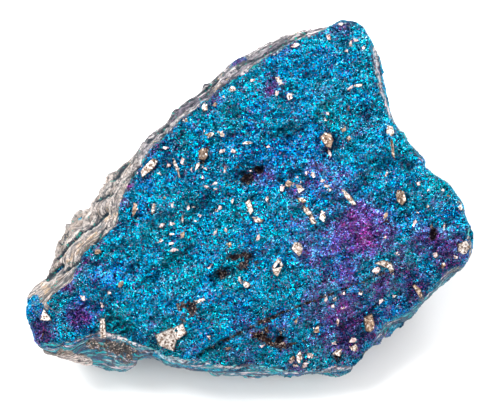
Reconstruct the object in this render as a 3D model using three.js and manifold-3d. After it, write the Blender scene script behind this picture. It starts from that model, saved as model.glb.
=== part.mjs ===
// A chalcopyrite specimen, tarnished to "peacock ore": one loose stone, 72 mm across.
// It lies on its back. A big, nearly flat tarnished face looks up and forward, a layered
// host-rock bevel runs down its upper-left side, and broken faces close the sides and the back.
//
// Millimetres, +Z up. The big face is described in its own frame: u runs to the right along
// the face, v runs up along it, and n stands out of it.

import * as THREE from 'three';
import { mergeVertices } from 'three/addons/utils/BufferGeometryUtils.js';
import { ImprovedNoise } from 'three/addons/math/ImprovedNoise.js';
import Module from 'manifold-3d';

const { degToRad, lerp, clamp, smoothstep } = THREE.MathUtils;

// ---------------------------------------------------------------- driving dimensions

const FACE_TILT = degToRad(25);      // how far the big face leans up from the floor
const FACE_HEIGHT = 24;              // the face's origin above the floor
const FACE_RINGS = 27;               // rings of triangles across the face
const WALL_RINGS = 11;               // rings of triangles down the sides
const RIM = 0.7;                     // worn rim where the face meets a side directly
const RIM_DROP = 1.3;                // how far that rim turns down
const FOOT_WIDTH = 0.9;              // the foot's width beside the outline above it
const FOOT_DEPTH = 0.74;             // and its depth, which brings the back wall upright
const FOOT_NEAR = -26.5;             // where the foot's near edge lies, measured like v
const FOOT_TUCK = 1.6;               // how late the side draws in to the foot
const BURIED = 3;                    // how far the rough foot runs on before the flat cut
const BASE_CENTRE = [-0.04, 2.4];     // middle of the finished stone, moved onto the origin
const HIDDEN_SHARE = 0.985;          // sides stay within this share of the outline

// The outline of the stone, looking straight at the big face: (u, v).
const OUTLINE = [
  [15.5, 29.1], [17.9, 28.0], [19.1, 26.0], [20.5, 22.7], [21.4, 19.0], [22.4, 14.2],
  [23.5, 12.0], [25.2, 9.2], [27.8, 6.8], [28.2, 5.4], [30.5, 3.6], [31.8, 2.8],
  [33.6, 0.3], [34.4, -1.0], [34.4, -2.2], [35.9, -5.5], [35.3, -8.8], [33.5, -11.3],
  [31.0, -13.5], [28.3, -15.5], [27.6, -15.6], [26.3, -17.6], [24.7, -18.7], [22.7, -21.1],
  [19.5, -23.4], [18.2, -24.3], [16.1, -27.2], [14.1, -28.0], [8.0, -27.9], [0.0, -28.4],
  [-6.0, -28.0], [-7.0, -27.3], [-12.0, -26.6], [-15.5, -25.6], [-18.8, -25.9],
  [-23.5, -27.0], [-27.5, -25.5], [-31.5, -24.6], [-34.3, -22.6], [-35.2, -19.5],
  [-36.0, -18.0], [-35.7, -15.0], [-33.5, -12.3], [-31.7, -9.5], [-31.6, -8.0],
  [-29.7, -5.6], [-28.4, -3.0], [-24.9, 0.0], [-23.7, 3.0], [-23.0, 4.2], [-20.0, 5.8],
  [-18.0, 8.0], [-16.5, 10.3], [-13.0, 12.5], [-11.5, 14.9], [-9.2, 16.6], [-6.5, 19.0],
  [-3.3, 21.8], [0.0, 24.0], [2.5, 25.6], [8.0, 27.1], [13.0, 28.0], [14.7, 29.1],
];

// Where the tarnished face stops short of the outline: the host-rock bevel on the upper
// left, the pale ledge along the bottom, and the undercut on the right.
const FACE_EDGES = [
  [
    [12.5, 27.5], [8.0, 25.9], [4.0, 23.8], [0.0, 21.0], [-4.0, 18.6], [-7.0, 15.9],
    [-9.5, 14.2], [-13.0, 11.0], [-16.5, 7.6], [-18.2, 4.6], [-20.0, 1.5], [-21.0, -1.0],
    [-21.5, -4.0], [-24.0, -6.2], [-26.5, -8.5], [-28.5, -12.3], [-32.5, -15.5],
    [-34.9, -16.6],
  ],
  [
    [-33.2, -22.4], [-28.0, -22.9], [-24.0, -21.5], [-20.0, -22.2], [-16.0, -24.0],
    [-10.0, -25.8], [-4.0, -26.7], [0.0, -26.3], [5.0, -27.1], [13.0, -26.8], [16.0, -26.2],
  ],
  [
    [19.6, -22.7], [21.2, -19.6], [23.5, -18.2], [27.2, -15.0], [29.5, -13.8],
    [30.5, -12.0], [32.0, -10.5], [34.0, -9.7], [35.2, -8.0],
  ],
];
const CENTRE = [1.2, -4.0];          // a point that sees the whole outline
const OUTLINE_LOWEST = Math.min(...OUTLINE.map(([, v]) => v));

// How steeply each stretch outside the face edge falls, mm per mm, and its layers.
// Bearings are degrees anticlockwise from +u, seen from CENTRE.
const BEVELS = [
  { from: -40, to: 62, slope: 1.5, layers: 0 },       // right side: a worn rim
  { from: 62, to: 212, slope: 1.75, layers: 4 },      // upper left: layered host rock
  { from: 212, to: 320, slope: 2.1, layers: 1 },      // bottom: steep strip under the ledge
];

// The crease across the lower face, left to right. Below it the surface falls away.
const CREASE = [
  [-40, -24.0], [-12, -25.5], [-7, -23.5], [-2, -20.6], [5, -18.2], [12, -15.0],
  [20, -11.5], [26, -8.2], [34.5, -4.4],
];
const CREASE_FALL = 0.42;            // mm down per mm below the crease
const GRAIN_BEARING = degToRad(28);  // the way the undulations run across the face

// Hollows (rise below 0) and swells (rise above 0), each along a short line: all in mm.
const RELIEF = [
  { a: [-1.0, 3.8], b: [1.4, 4.8], width: 1.7, rise: -1.0 },
  { a: [2.8, 10.2], b: [6.0, 11.2], width: 1.2, rise: -0.7 },
  { a: [-5.6, -12.2], b: [0.0, -8.6], width: 1.5, rise: -1.0 },
  { a: [-16.8, -13.0], b: [-10.1, -8.2], width: 1.3, rise: -0.8 },
  { a: [-28.0, -18.2], b: [-26.4, -17.0], width: 3.0, rise: -1.5 },
  { a: [-22.4, -18.6], b: [-16.0, -23.8], width: 1.7, rise: -1.1 },
  { a: [3.6, -22.0], b: [6.6, -22.4], width: 1.9, rise: -0.9 },
  { a: [17.9, 2.6], b: [21.6, 6.2], width: 1.4, rise: -1.2 },
  { a: [21.6, 6.2], b: [25.6, 5.8], width: 1.4, rise: -1.2 },
  { a: [20.6, 0.6], b: [23.4, -1.8], width: 1.9, rise: -1.0 },
  { a: [-8.0, -24.6], b: [-0.8, -20.6], width: 1.0, rise: -0.7 },
  { a: [-15.2, -5.4], b: [-5.6, -0.6], width: 1.6, rise: -0.7 },
  { a: [-10.5, 9.5], b: [-6.0, 5.8], width: 1.3, rise: -0.6 },
  { a: [8.5, -12.5], b: [15.0, -9.0], width: 1.4, rise: -0.6 },
  { a: [28.0, 1.4], b: [29.4, 2.4], width: 3.2, rise: 1.1 },
  { a: [-24.0, -14.2], b: [-12.0, -15.4], width: 2.6, rise: 0.8 },
  { a: [-12.0, -1.5], b: [-3.0, 3.4], width: 2.2, rise: 0.6 },
  { a: [2.0, -15.6], b: [10.0, -10.8], width: 2.0, rise: 0.6 },
  { a: [10.0, 14.0], b: [16.0, 19.0], width: 3.5, rise: 0.8 },
  { a: [6.0, -1.5], b: [14.0, 1.5], width: 2.6, rise: 0.7 },
];

// Long grooves in the host-rock bevel.
const GROOVES = [
  { a: [-22.6, -1.6], b: [-30.6, -8.6], width: 0.9, rise: -1.8 },
  { a: [-27.6, -9.6], b: [-33.4, -13.0], width: 0.8, rise: -1.5 },
  { a: [-18.8, 3.8], b: [-13.6, 10.8], width: 0.7, rise: -1.2 },
];

// Broken faces round the sides. `bearing` is measured on the floor from +X, and `under` is
// how far the face looks down. Each lies just clear of the outline above it.
const BREAKS = [
  { bearing: -112, under: 34 },
  { bearing: -88, under: 29 },
  { bearing: -60, under: 31 },
  { bearing: -34, under: 27 },
  { bearing: -6, under: 20 },
  { bearing: 22, under: 15 },
  { bearing: 47, under: 7 },
  { bearing: 76, under: 1 },
  { bearing: 99, under: 11 },
  { bearing: 124, under: 3 },
  { bearing: 146, under: 12 },
  { bearing: 168, under: 19 },
  { bearing: 190, under: 25 },
  { bearing: 216, under: 27 },
];
const BREAK_GAP = 0.25;              // room between a broken face and the outline's rim

// Smaller broken faces low down, `reach` out from the middle at floor level.
const LOW_BREAKS = [
  { bearing: -47, under: 50, reach: 22.5 },
  { bearing: 8, under: 46, reach: 22.0 },
  { bearing: 60, under: 38, reach: 15.5 },
  { bearing: 112, under: 42, reach: 10.5 },
  { bearing: 158, under: 45, reach: 15.5 },
  { bearing: 203, under: 50, reach: 25.0 },
];

// Slabs that have split away under a ledge. The bedding lies parallel to the big face, so
// `bearing` is in the face and `top` is the ledge's depth under it. `aside` and `span` place
// the slab along the side, `lean` draws it in towards the floor, `skew` turns it out of true.
const SLABS = [
  { bearing: 128, reach: 18.4, top: -13.5, aside: -4, span: 21, lean: 20, skew: 6 },
  { bearing: 146, reach: 15.6, top: -19.0, aside: 4, span: 25, lean: 24, skew: -9 },
  { bearing: 170, reach: 27.0, top: -10.5, aside: 1, span: 9, lean: 28, skew: 10 },
  { bearing: 84, reach: 20.5, top: -13.0, aside: -8, span: 15, lean: 24, skew: -8 },
  { bearing: 20, reach: 24.0, top: -11.5, aside: 3, span: 13, lean: 8, skew: 9 },
  { bearing: -36, reach: 23.2, top: -9.5, aside: 2, span: 13, lean: 5, skew: -7 },
];

// The largest brassy crystals on the big face: u, v, length along the turn, width, turn.
const CRYSTALS = [
  [7.6, -7.4, 3.1, 2.2, 80], [4.3, -10.4, 2.4, 1.8, 85], [-13.8, -22.4, 2.8, 2.2, 110],
  [-11.8, -20.7, 2.9, 1.6, 12], [14.7, 1.5, 1.7, 1.1, -40], [16.0, 0.3, 1.7, 1.1, -40],
  [-16.4, 5.3, 3.3, 1.5, 40], [1.3, -2.9, 1.5, 1.1, 0], [-0.3, -0.8, 2.4, 0.8, -70],
  [9.7, -2.7, 3.0, 1.0, -55], [11.5, -2.3, 1.8, 1.0, 80], [-8.0, -15.9, 1.4, 0.9, 20],
  [-1.0, -13.1, 1.7, 1.6, 30], [-18.4, -1.2, 1.8, 0.9, 80], [-33.0, -18.3, 1.8, 1.8, 15],
  [12.2, -15.6, 1.2, 0.7, 90], [10.8, -20.6, 1.2, 1.0, 70], [14.1, -19.3, 1.2, 0.6, 85],
  [19.2, -20.0, 2.9, 1.7, 70], [16.7, -22.4, 1.2, 0.8, 10], [16.8, -23.8, 1.3, 1.2, 0],
  [14.3, -24.3, 1.5, 1.0, 15], [8.0, -25.2, 1.2, 0.8, 80], [22.2, 11.3, 2.0, 1.3, 75],
  [22.8, 8.4, 2.9, 0.8, -80], [15.2, 11.5, 1.0, 0.9, 30], [12.3, 9.8, 2.6, 2.0, 80],
  [24.2, 0.8, 1.8, 0.9, 80], [21.7, -2.2, 1.1, 0.8, 60], [34.0, -7.2, 2.2, 1.6, 75],
  [29.7, -8.6, 1.0, 0.9, 40], [20.9, -9.8, 1.9, 0.9, 3], [22.6, -11.0, 1.5, 0.8, -75],
  [27.0, -14.3, 2.6, 0.8, -60], [33.2, -0.8, 1.4, 0.8, 75], [12.6, 26.3, 1.0, 0.8, 80],
  [7.2, 25.0, 1.2, 0.9, 10], [4.8, 19.2, 1.9, 0.9, -55], [6.4, 16.8, 1.2, 1.0, 70],
  [16.7, 18.2, 2.4, 0.8, 20], [12.2, 13.4, 1.2, 0.9, 60], [9.5, 4.4, 1.6, 1.2, 10],
  [6.1, 2.9, 1.2, 1.1, 0], [7.6, 2.0, 1.4, 1.4, 30], [-0.3, 9.4, 1.4, 0.6, 8],
  [-7.6, 7.5, 1.9, 1.4, 75], [-5.6, 10.7, 1.9, 0.9, 0], [-7.2, 15.1, 1.3, 1.1, 60],
  [-2.8, 18.1, 1.1, 0.8, 20], [-11.6, 5.2, 2.2, 0.6, 65], [-24.3, -8.0, 1.0, 0.8, 30],
  [-20.7, -13.2, 1.0, 0.8, 60], [-26.7, -15.5, 1.0, 0.8, 10],
];
const CRYSTAL_RISE = 0.34;           // how far a crystal stands out, as a share of its width

// Crystals on the sides and the back: bearing on the floor, height, size.
const SIDE_CRYSTALS = [
  [-40, 9, 2.6], [-12, 15, 2.2], [6, 7, 3.0], [24, 18, 2.4], [44, 11, 2.8], [63, 22, 2.2],
  [80, 9, 3.2], [97, 17, 2.4], [112, 26, 2.2], [131, 10, 2.8], [158, 13, 2.6],
  [186, 8, 2.4], [214, 6, 2.2], [-72, 5, 2.0],
];

// Pits: u, v, length, width, turn, depth.
const PITS = [
  [-0.8, 3.5, 2.0, 1.4, 10, 0.9], [29.3, -5.1, 2.6, 1.2, 80, 0.9],
  [-4.3, -11.8, 2.2, 1.3, 15, 0.9], [2.2, -21.6, 2.5, 2.0, 0, 0.9],
  [4.9, -22.0, 2.2, 1.7, 85, 0.8], [-9.5, -17.0, 2.5, 2.2, 30, 0.8],
  [-11.2, -18.8, 1.1, 0.9, 0, 0.6], [-21.6, -23.5, 5.6, 2.2, 8, 1.5],
  [-33.0, -21.2, 2.2, 1.6, 40, 1.0], [-2.2, -9.0, 2.8, 1.2, 25, 0.7],
  [1.6, 5.5, 1.4, 1.2, 0, 0.6],
];

// ---------------------------------------------------------------- small helpers

const noise = new ImprovedNoise();

// Layered noise from -1 to 1 for features `size` mm across.
function rough(x, y, z, size, octaves = 3) {
  let sum = 0;
  let weight = 1;
  let total = 0;
  for (let i = 0; i < octaves; i++) {
    const f = 2 ** i / size;
    sum += weight * noise.noise(x * f + 11.3 * i, y * f + 5.7, z * f - 3.1 * i);
    total += weight;
    weight *= 0.5;
  }
  return sum / total * 1.6;
}

// Repeatable random numbers from 0 to 1.
function randomSource(seed) {
  let state = seed;
  return () => {
    state = (state * 16807) % 2147483647;
    return state / 2147483647;
  };
}

function faceToStone(u, v, n) {
  return new THREE.Vector3(
    u - BASE_CENTRE[0],
    v * Math.cos(FACE_TILT) - n * Math.sin(FACE_TILT) - BASE_CENTRE[1],
    FACE_HEIGHT + v * Math.sin(FACE_TILT) + n * Math.cos(FACE_TILT),
  );
}

function stoneToFace(p) {
  const y = p.y + BASE_CENTRE[1];
  const z = p.z - FACE_HEIGHT;
  return {
    u: p.x + BASE_CENTRE[0],
    v: y * Math.cos(FACE_TILT) + z * Math.sin(FACE_TILT),
    n: -y * Math.sin(FACE_TILT) + z * Math.cos(FACE_TILT),
  };
}

// Distance from CENTRE to a line of points along a bearing, or null where it has none there.
function reachAlong(points, closed, bearing) {
  const dx = Math.cos(bearing);
  const dy = Math.sin(bearing);
  let found = null;
  const count = closed ? points.length : points.length - 1;
  for (let i = 0; i < count; i++) {
    const [ax, ay] = points[i];
    const [bx, by] = points[(i + 1) % points.length];
    const ex = bx - ax;
    const ey = by - ay;
    const cross = dx * ey - dy * ex;
    if (Math.abs(cross) < 1e-9) continue;
    const px = ax - CENTRE[0];
    const py = ay - CENTRE[1];
    const reach = (px * ey - py * ex) / cross;
    const along = (px * dy - py * dx) / cross;
    if (reach > 0 && along >= -1e-9 && along <= 1 + 1e-9) found = Math.max(found ?? 0, reach);
  }
  return found;
}

// The point at share t of the way round the outline, by length.
function makeOutline(points) {
  const lengths = [0];
  points.forEach(([x, y], i) => {
    const [nx, ny] = points[(i + 1) % points.length];
    lengths.push(lengths[i] + Math.hypot(nx - x, ny - y));
  });
  const total = lengths[points.length];
  return (t) => {
    const target = (t - Math.floor(t)) * total;
    let i = 0;
    while (lengths[i + 1] < target) i++;
    const share = (target - lengths[i]) / (lengths[i + 1] - lengths[i]);
    const [ax, ay] = points[i];
    const [bx, by] = points[(i + 1) % points.length];
    return [lerp(ax, bx, share), lerp(ay, by, share)];
  };
}

function distanceToLine(u, v, a, b) {
  const ex = b[0] - a[0];
  const ey = b[1] - a[1];
  const share = clamp(((u - a[0]) * ex + (v - a[1]) * ey) / (ex * ex + ey * ey), 0, 1);
  return Math.hypot(u - a[0] - ex * share, v - a[1] - ey * share);
}

function distanceToEdge(u, v, line) {
  const distances = line.slice(1).map((point, i) => distanceToLine(u, v, line[i], point));
  return Math.min(...distances);
}

function sumRelief(features, u, v) {
  return features.reduce((sum, { a, b, width, rise }) => {
    const d = distanceToLine(u, v, a, b) / width;
    return sum + rise * Math.exp(-d * d);
  }, 0);
}

// ---------------------------------------------------------------- the big face

// Height of the tarnished face above its plane at (u, v).
function faceRelief(u, v) {
  let crease = CREASE[CREASE.length - 1][1];
  for (let i = 0; i < CREASE.length - 1; i++) {
    const [ua, va] = CREASE[i];
    const [ub, vb] = CREASE[i + 1];
    if (u >= ua && u < ub) crease = lerp(va, vb, (u - ua) / (ub - ua));
  }
  const below = Math.max(0, crease - v);
  const along = u * Math.cos(GRAIN_BEARING) + v * Math.sin(GRAIN_BEARING);
  const across = -u * Math.sin(GRAIN_BEARING) + v * Math.cos(GRAIN_BEARING);
  return -CREASE_FALL * below
    + 1.1 * rough(along / 2.2, across, 0, 9, 2)
    + 0.55 * rough(along / 2, across, 7, 3.4, 2)
    + 0.28 * rough(u, v, 3, 1.7, 1)
    + sumRelief(RELIEF, u, v);
}

function bevelAt(degrees) {
  const turned = ((degrees + 40) % 360 + 360) % 360 - 40;
  return BEVELS.find(({ from, to }) => turned >= from && turned < to);
}

// What lies along one bearing from CENTRE: where the face ends and how its bevel falls.
function spokeAt(point) {
  const dx = point[0] - CENTRE[0];
  const dy = point[1] - CENTRE[1];
  const bearing = Math.atan2(dy, dx);
  const outer = Math.hypot(dx, dy);
  let inner = outer - RIM;
  let edge = null;
  FACE_EDGES.forEach((line) => {
    const reach = reachAlong(line, false, bearing);
    if (reach && reach < inner) {
      inner = reach;
      edge = line;
    }
  });
  const bevel = bevelAt(THREE.MathUtils.radToDeg(bearing));
  const ring = clamp(Math.round(FACE_RINGS * inner / outer), 1, FACE_RINGS - 1);
  return { bearing, outer, inner, ring, bevel, edge };
}

// One layer after another: a gentle tread and then a steep riser, `layers` times.
function terrace(share, layers) {
  if (layers === 0) return share;
  const step = share * layers;
  const whole = Math.floor(step);
  const riser = smoothstep(step - whole, 0.55, 1);
  return (whole + lerp(0.35 * (step - whole), 1, riser)) / layers;
}

// A point of the upper surface: ring k of FACE_RINGS, share t of the way round.
function upperPoint(ring, t) {
  const spoke = spokeAt(outlineAt(t));
  const onFace = ring <= spoke.ring;
  const bevelShare = onFace ? 0 : (ring - spoke.ring) / (FACE_RINGS - spoke.ring);
  const reach = onFace
    ? spoke.inner * ring / spoke.ring
    : lerp(spoke.inner, spoke.outer, bevelShare);
  const u = CENTRE[0] + reach * Math.cos(spoke.bearing);
  const v = CENTRE[1] + reach * Math.sin(spoke.bearing);
  if (onFace) {
    const edge = smoothstep(reach, spoke.inner - 3, spoke.inner);
    return { u, v, n: faceRelief(u, v) - 0.5 * edge * edge };
  }
  const edgeU = CENTRE[0] + spoke.inner * Math.cos(spoke.bearing);
  const edgeV = CENTRE[1] + spoke.inner * Math.sin(spoke.bearing);
  const { slope, layers } = spoke.bevel;
  const clear = spoke.edge ? distanceToEdge(u, v, spoke.edge) / bevelShare : 0;
  const drop = RIM_DROP * Math.min(1, bevelShare * 1.2)
    + slope * clear * terrace(bevelShare, layers);
  const broken = layers > 1 ? 0.7 * rough(u / 2.5, v / 2.5, 19, 2.6, 2) : 0;
  return {
    u,
    v,
    n: faceRelief(edgeU, edgeV) - 0.5 - drop + broken + sumRelief(GROOVES, u, v),
  };
}

// ---------------------------------------------------------------- the sides

// The outline with its small steps smoothed away, which the lower side follows.
function smoothOutlineAt(t) {
  const points = [-3, -2, -1, 0, 1, 2, 3].map((step) => outlineAt(t + 0.016 * step));
  return [0, 1].map((axis) => points.reduce((sum, point) => sum + point[axis] / 7, 0));
}

// A point of the side: share q of the way down from `top`, the outline's point at share t.
function sidePoint(top, t, q) {
  const inward = q ** FOOT_TUCK;
  const [footU, footV] = smoothOutlineAt(t);
  const u = lerp(top.u, footU * FOOT_WIDTH, inward);
  const v = lerp(top.v, FOOT_NEAR + (footV - OUTLINE_LOWEST) * FOOT_DEPTH, inward);
  const floorDepth = -(FACE_HEIGHT + BURIED + v * Math.sin(FACE_TILT)) / Math.cos(FACE_TILT);
  const p = faceToStone(u, v, lerp(top.n, floorDepth, q));
  const outward = new THREE.Vector3(p.x, p.y, 0).normalize();
  const bumps = 0.9 * rough(p.x, p.y, p.z, 8, 2) + 0.6 * rough(p.x, p.y, p.z, 2.6, 2);
  p.addScaledVector(outward, bumps * smoothstep(q, 0, 0.12));
  const face = stoneToFace(p);
  const du = face.u - CENTRE[0];
  const dv = face.v - CENTRE[1];
  const limit = HIDDEN_SHARE * reachAlong(OUTLINE, true, Math.atan2(dv, du));
  const share = Math.min(1, limit / Math.hypot(du, dv));
  return faceToStone(CENTRE[0] + du * share, CENTRE[1] + dv * share, face.n);
}

// ---------------------------------------------------------------- the stone's skin

const outlineAt = makeOutline(OUTLINE.slice().reverse());

function buildSkin() {
  const positions = [];
  const triangles = [];
  const add = (p) => positions.push(p.x, p.y, p.z) / 3 - 1;

  // The face: ring k has 6k points, so its triangles stay near equilateral.
  const rings = [[add(faceToStone(CENTRE[0], CENTRE[1], faceRelief(...CENTRE)))]];
  for (let k = 1; k <= FACE_RINGS; k++) {
    const ring = [];
    for (let i = 0; i < 6 * k; i++) {
      const { u, v, n } = upperPoint(k, i / (6 * k));
      ring.push(add(faceToStone(u, v, n)));
    }
    rings.push(ring);
  }
  for (let k = 1; k <= FACE_RINGS; k++) {
    const outer = rings[k];
    const inner = rings[k - 1];
    for (let sector = 0; sector < 6; sector++) {
      for (let i = 0; i < k; i++) {
        const o = sector * k + i;
        const n = sector * (k - 1) + i;
        triangles.push(inner[n % inner.length], outer[o], outer[(o + 1) % outer.length]);
        if (i < k - 1) {
          triangles.push(
            inner[n % inner.length], outer[(o + 1) % outer.length], inner[(n + 1) % inner.length]);
        }
      }
    }
  }

  // The sides: rings of the same count, each turned half a step from the last.
  const count = 6 * FACE_RINGS;
  let last = rings[FACE_RINGS];
  for (let j = 1; j <= WALL_RINGS; j++) {
    const next = [];
    for (let i = 0; i < count; i++) {
      const t = (i + 0.5 * (j % 2)) / count;
      next.push(add(sidePoint(upperPoint(FACE_RINGS, t), t, j / WALL_RINGS)));
    }
    for (let i = 0; i < count; i++) {
      const a = last[i];
      const b = last[(i + 1) % count];
      const c = next[i];
      const d = next[(i + 1) % count];
      if (j % 2) triangles.push(a, c, b, b, c, d);
      else triangles.push(a, c, d, a, d, b);
    }
    last = next;
  }

  // The rough foot, which the flat cut takes away.
  const foot = add(new THREE.Vector3(0, 0, -BURIED));
  for (let i = 0; i < count; i++) triangles.push(last[i], foot, last[(i + 1) % count]);

  const geometry = new THREE.BufferGeometry();
  geometry.setAttribute('position', new THREE.Float32BufferAttribute(positions, 3));
  geometry.setIndex(triangles);
  return geometry;
}

// ---------------------------------------------------------------- crystals, pits and the cut

const wasm = await Module();
wasm.setup();

function solidFrom(geometry) {
  const bare = geometry.clone();
  bare.deleteAttribute('normal');
  bare.deleteAttribute('uv');
  const merged = mergeVertices(bare, 1e-4);
  return new wasm.Manifold(new wasm.Mesh({
    numProp: 3,
    vertProperties: merged.attributes.position.array,
    triVerts: new Uint32Array(merged.index.array),
  }));
}

function geometryFrom(solid) {
  const mesh = solid.getMesh();
  const geometry = new THREE.BufferGeometry();
  geometry.setAttribute('position', new THREE.Float32BufferAttribute(mesh.vertProperties, 3));
  geometry.setIndex(Array.from(mesh.triVerts));
  return geometry;
}

// A blunt crystal, 1 across: an octahedron or a wedge-like block with its corners moved.
function crystalGeometry(random, kind) {
  const geometry = kind === 0
    ? new THREE.OctahedronGeometry(0.62)
    : new THREE.BoxGeometry(0.86, 0.8, 0.9);
  geometry.deleteAttribute('normal');
  geometry.deleteAttribute('uv');
  const merged = mergeVertices(geometry, 1e-4);
  const corners = merged.attributes.position;
  for (let i = 0; i < corners.count; i++) {
    corners.setXYZ(
      i,
      corners.getX(i) * lerp(0.75, 1.15, random()),
      corners.getY(i) * lerp(0.75, 1.15, random()),
      corners.getZ(i) * lerp(0.8, 1.1, random()),
    );
  }
  return merged;
}

// A crystal or pit tool stood on the face at (u, v), turned in the face and tipped a little.
function placeOnFace(geometry, u, v, n, scale, turn, tip) {
  const frame = new THREE.Matrix4().makeRotationX(FACE_TILT);
  frame.setPosition(faceToStone(u, v, n));
  const turned = new THREE.Matrix4().makeRotationFromEuler(
    new THREE.Euler(tip, tip * 0.6, degToRad(turn), 'ZYX'));
  const sized = new THREE.Matrix4().makeScale(...scale);
  return geometry.clone().applyMatrix4(frame.multiply(turned).multiply(sized));
}

// Everything beyond a leaning plane, as a big block to take away.
function breakBlock(bearing, under, reach) {
  return new THREE.BoxGeometry(60, 160, 200)
    .translate(30, 0, 0)
    .rotateY(degToRad(under))
    .translate(reach, 0, 0)
    .rotateZ(degToRad(bearing));
}

function breakSides(whole) {
  const rim = [];
  for (let i = 0; i < 6 * FACE_RINGS; i++) {
    const { u, v, n } = upperPoint(FACE_RINGS, i / (6 * FACE_RINGS));
    rim.push(faceToStone(u, v, n));
  }
  let stone = whole;
  BREAKS.forEach(({ bearing, under }) => {
    const turn = degToRad(bearing);
    const reach = Math.max(...rim.map((p) => (
      p.x * Math.cos(turn) + p.y * Math.sin(turn) - p.z * Math.tan(degToRad(under)))));
    stone = stone.subtract(solidFrom(breakBlock(bearing, under, reach + BREAK_GAP)));
  });
  LOW_BREAKS.forEach(({ bearing, under, reach }) => {
    stone = stone.subtract(solidFrom(breakBlock(bearing, under, reach)));
  });
  SLABS.forEach(({ bearing, reach, top, aside, span, lean, skew }) => {
    const slab = new THREE.BoxGeometry(30, span, 60)
      .translate(15, 0, -30)
      .rotateY(degToRad(lean))
      .rotateZ(degToRad(skew))
      .translate(reach, aside, top)
      .rotateZ(degToRad(bearing))
      .translate(CENTRE[0], CENTRE[1], 0);
    const frame = new THREE.Matrix4().makeRotationX(FACE_TILT);
    frame.setPosition(faceToStone(0, 0, 0));
    stone = stone.subtract(solidFrom(slab.applyMatrix4(frame)));
  });
  return stone;
}

function buildStone() {
  const random = randomSource(4817);
  let stone = breakSides(solidFrom(buildSkin()));

  PITS.forEach(([u, v, length, width, turn, depth]) => {
    const bowl = new THREE.IcosahedronGeometry(0.55);
    const tool = placeOnFace(
      bowl, u, v, faceRelief(u, v) + 0.2 * depth, [length, width, 2.2 * depth], turn, 0.15);
    stone = stone.subtract(solidFrom(tool));
  });

  CRYSTALS.forEach(([u, v, length, width, turn], i) => {
    const shape = crystalGeometry(random, i % 3);
    const height = CRYSTAL_RISE * width;
    const placed = placeOnFace(
      shape, u, v, faceRelief(u, v) - 0.25 * width + height * 0.3,
      [length, width, width + height], turn, lerp(-0.25, 0.25, random()));
    stone = stone.add(solidFrom(placed));
  });

  // Crystals on the sides sit where a line out from the middle meets the skin.
  const ray = new THREE.Raycaster();
  const target = new THREE.Mesh(
    geometryFrom(stone), new THREE.MeshStandardMaterial({ side: THREE.DoubleSide }));
  SIDE_CRYSTALS.forEach(([bearing, height, size], i) => {
    const turn = degToRad(bearing);
    const out = new THREE.Vector3(Math.cos(turn), Math.sin(turn), 0);
    ray.set(new THREE.Vector3(0, 0, height), out);
    const hit = ray.intersectObject(target).pop();
    const sunk = hit.point.clone().addScaledVector(out, -0.3 * size);
    const placed = crystalGeometry(random, i % 3)
      .scale(size, size * 0.8, size)
      .rotateX(random())
      .rotateZ(turn + random())
      .translate(sunk.x, sunk.y, sunk.z);
    stone = stone.add(solidFrom(placed));
  });

  const floor = new THREE.BoxGeometry(200, 200, 40).translate(0, 0, -20);
  return geometryFrom(stone.subtract(solidFrom(floor)));
}

// ---------------------------------------------------------------- the object

const tarnish = new THREE.MeshStandardMaterial({
  color: 0x1f7fae,
  roughness: 0.42,
  metalness: 0.7,
});

const specimen = new THREE.Mesh(buildStone(), tarnish);
specimen.name = 'chalcopyrite_specimen';

const object = new THREE.Group();
object.name = 'chalcopyrite';
object.add(specimen);

export default object;
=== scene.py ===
"""Tarnished chalcopyrite specimen: the finish of every surface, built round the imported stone.

The stone's broad face is described in its own frame, in millimetres: u runs to the right
along the face, v runs up along it and n stands out of it. Blender's own units are metres.
Every table of places below is in this frame.
"""

import math

import bmesh
import bpy
import numpy as np
from mathutils import Matrix, Vector, noise
from mathutils.bvhtree import BVHTree


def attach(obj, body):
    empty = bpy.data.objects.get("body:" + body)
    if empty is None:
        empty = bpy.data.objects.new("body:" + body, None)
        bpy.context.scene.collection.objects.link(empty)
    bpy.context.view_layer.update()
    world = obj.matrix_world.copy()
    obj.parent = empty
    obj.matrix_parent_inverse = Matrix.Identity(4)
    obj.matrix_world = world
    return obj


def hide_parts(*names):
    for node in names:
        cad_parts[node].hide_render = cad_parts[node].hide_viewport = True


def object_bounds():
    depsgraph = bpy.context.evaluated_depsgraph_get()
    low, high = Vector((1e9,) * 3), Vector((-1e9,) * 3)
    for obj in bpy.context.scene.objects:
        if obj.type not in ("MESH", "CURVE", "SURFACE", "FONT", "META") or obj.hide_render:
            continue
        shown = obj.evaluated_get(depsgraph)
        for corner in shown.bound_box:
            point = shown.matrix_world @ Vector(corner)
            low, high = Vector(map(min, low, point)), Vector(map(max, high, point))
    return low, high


bl_info = {
    "name": "Chalcopyrite Specimen",
    "version": (1, 0, 0),
    "blender": (4, 5, 0),
    "location": "3D View > Sidebar > Specimen",
    "description": "Dresses the packed chalcopyrite stone with tarnish, crystals and host rock",
    "category": "Object",
}

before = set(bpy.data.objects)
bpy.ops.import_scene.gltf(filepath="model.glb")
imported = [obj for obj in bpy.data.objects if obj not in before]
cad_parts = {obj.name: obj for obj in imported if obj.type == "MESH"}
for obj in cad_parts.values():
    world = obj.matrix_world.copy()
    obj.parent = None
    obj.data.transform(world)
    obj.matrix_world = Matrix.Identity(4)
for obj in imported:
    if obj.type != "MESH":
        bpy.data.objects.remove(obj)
SOLID_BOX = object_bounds()
NODE = "chalcopyrite_specimen"
MM = 0.001

# ------------------------------------------------------------------ places on the stone, mm

# The face's tilt from the floor, the height of its frame's start over the floor, and where the
# middle of the stone's box lies from that start, in x and y.
FACE_TILT = math.radians(25.0)
FACE_HEIGHT = 24.0
STONE_MIDDLE = (-0.04, 2.4)

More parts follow.
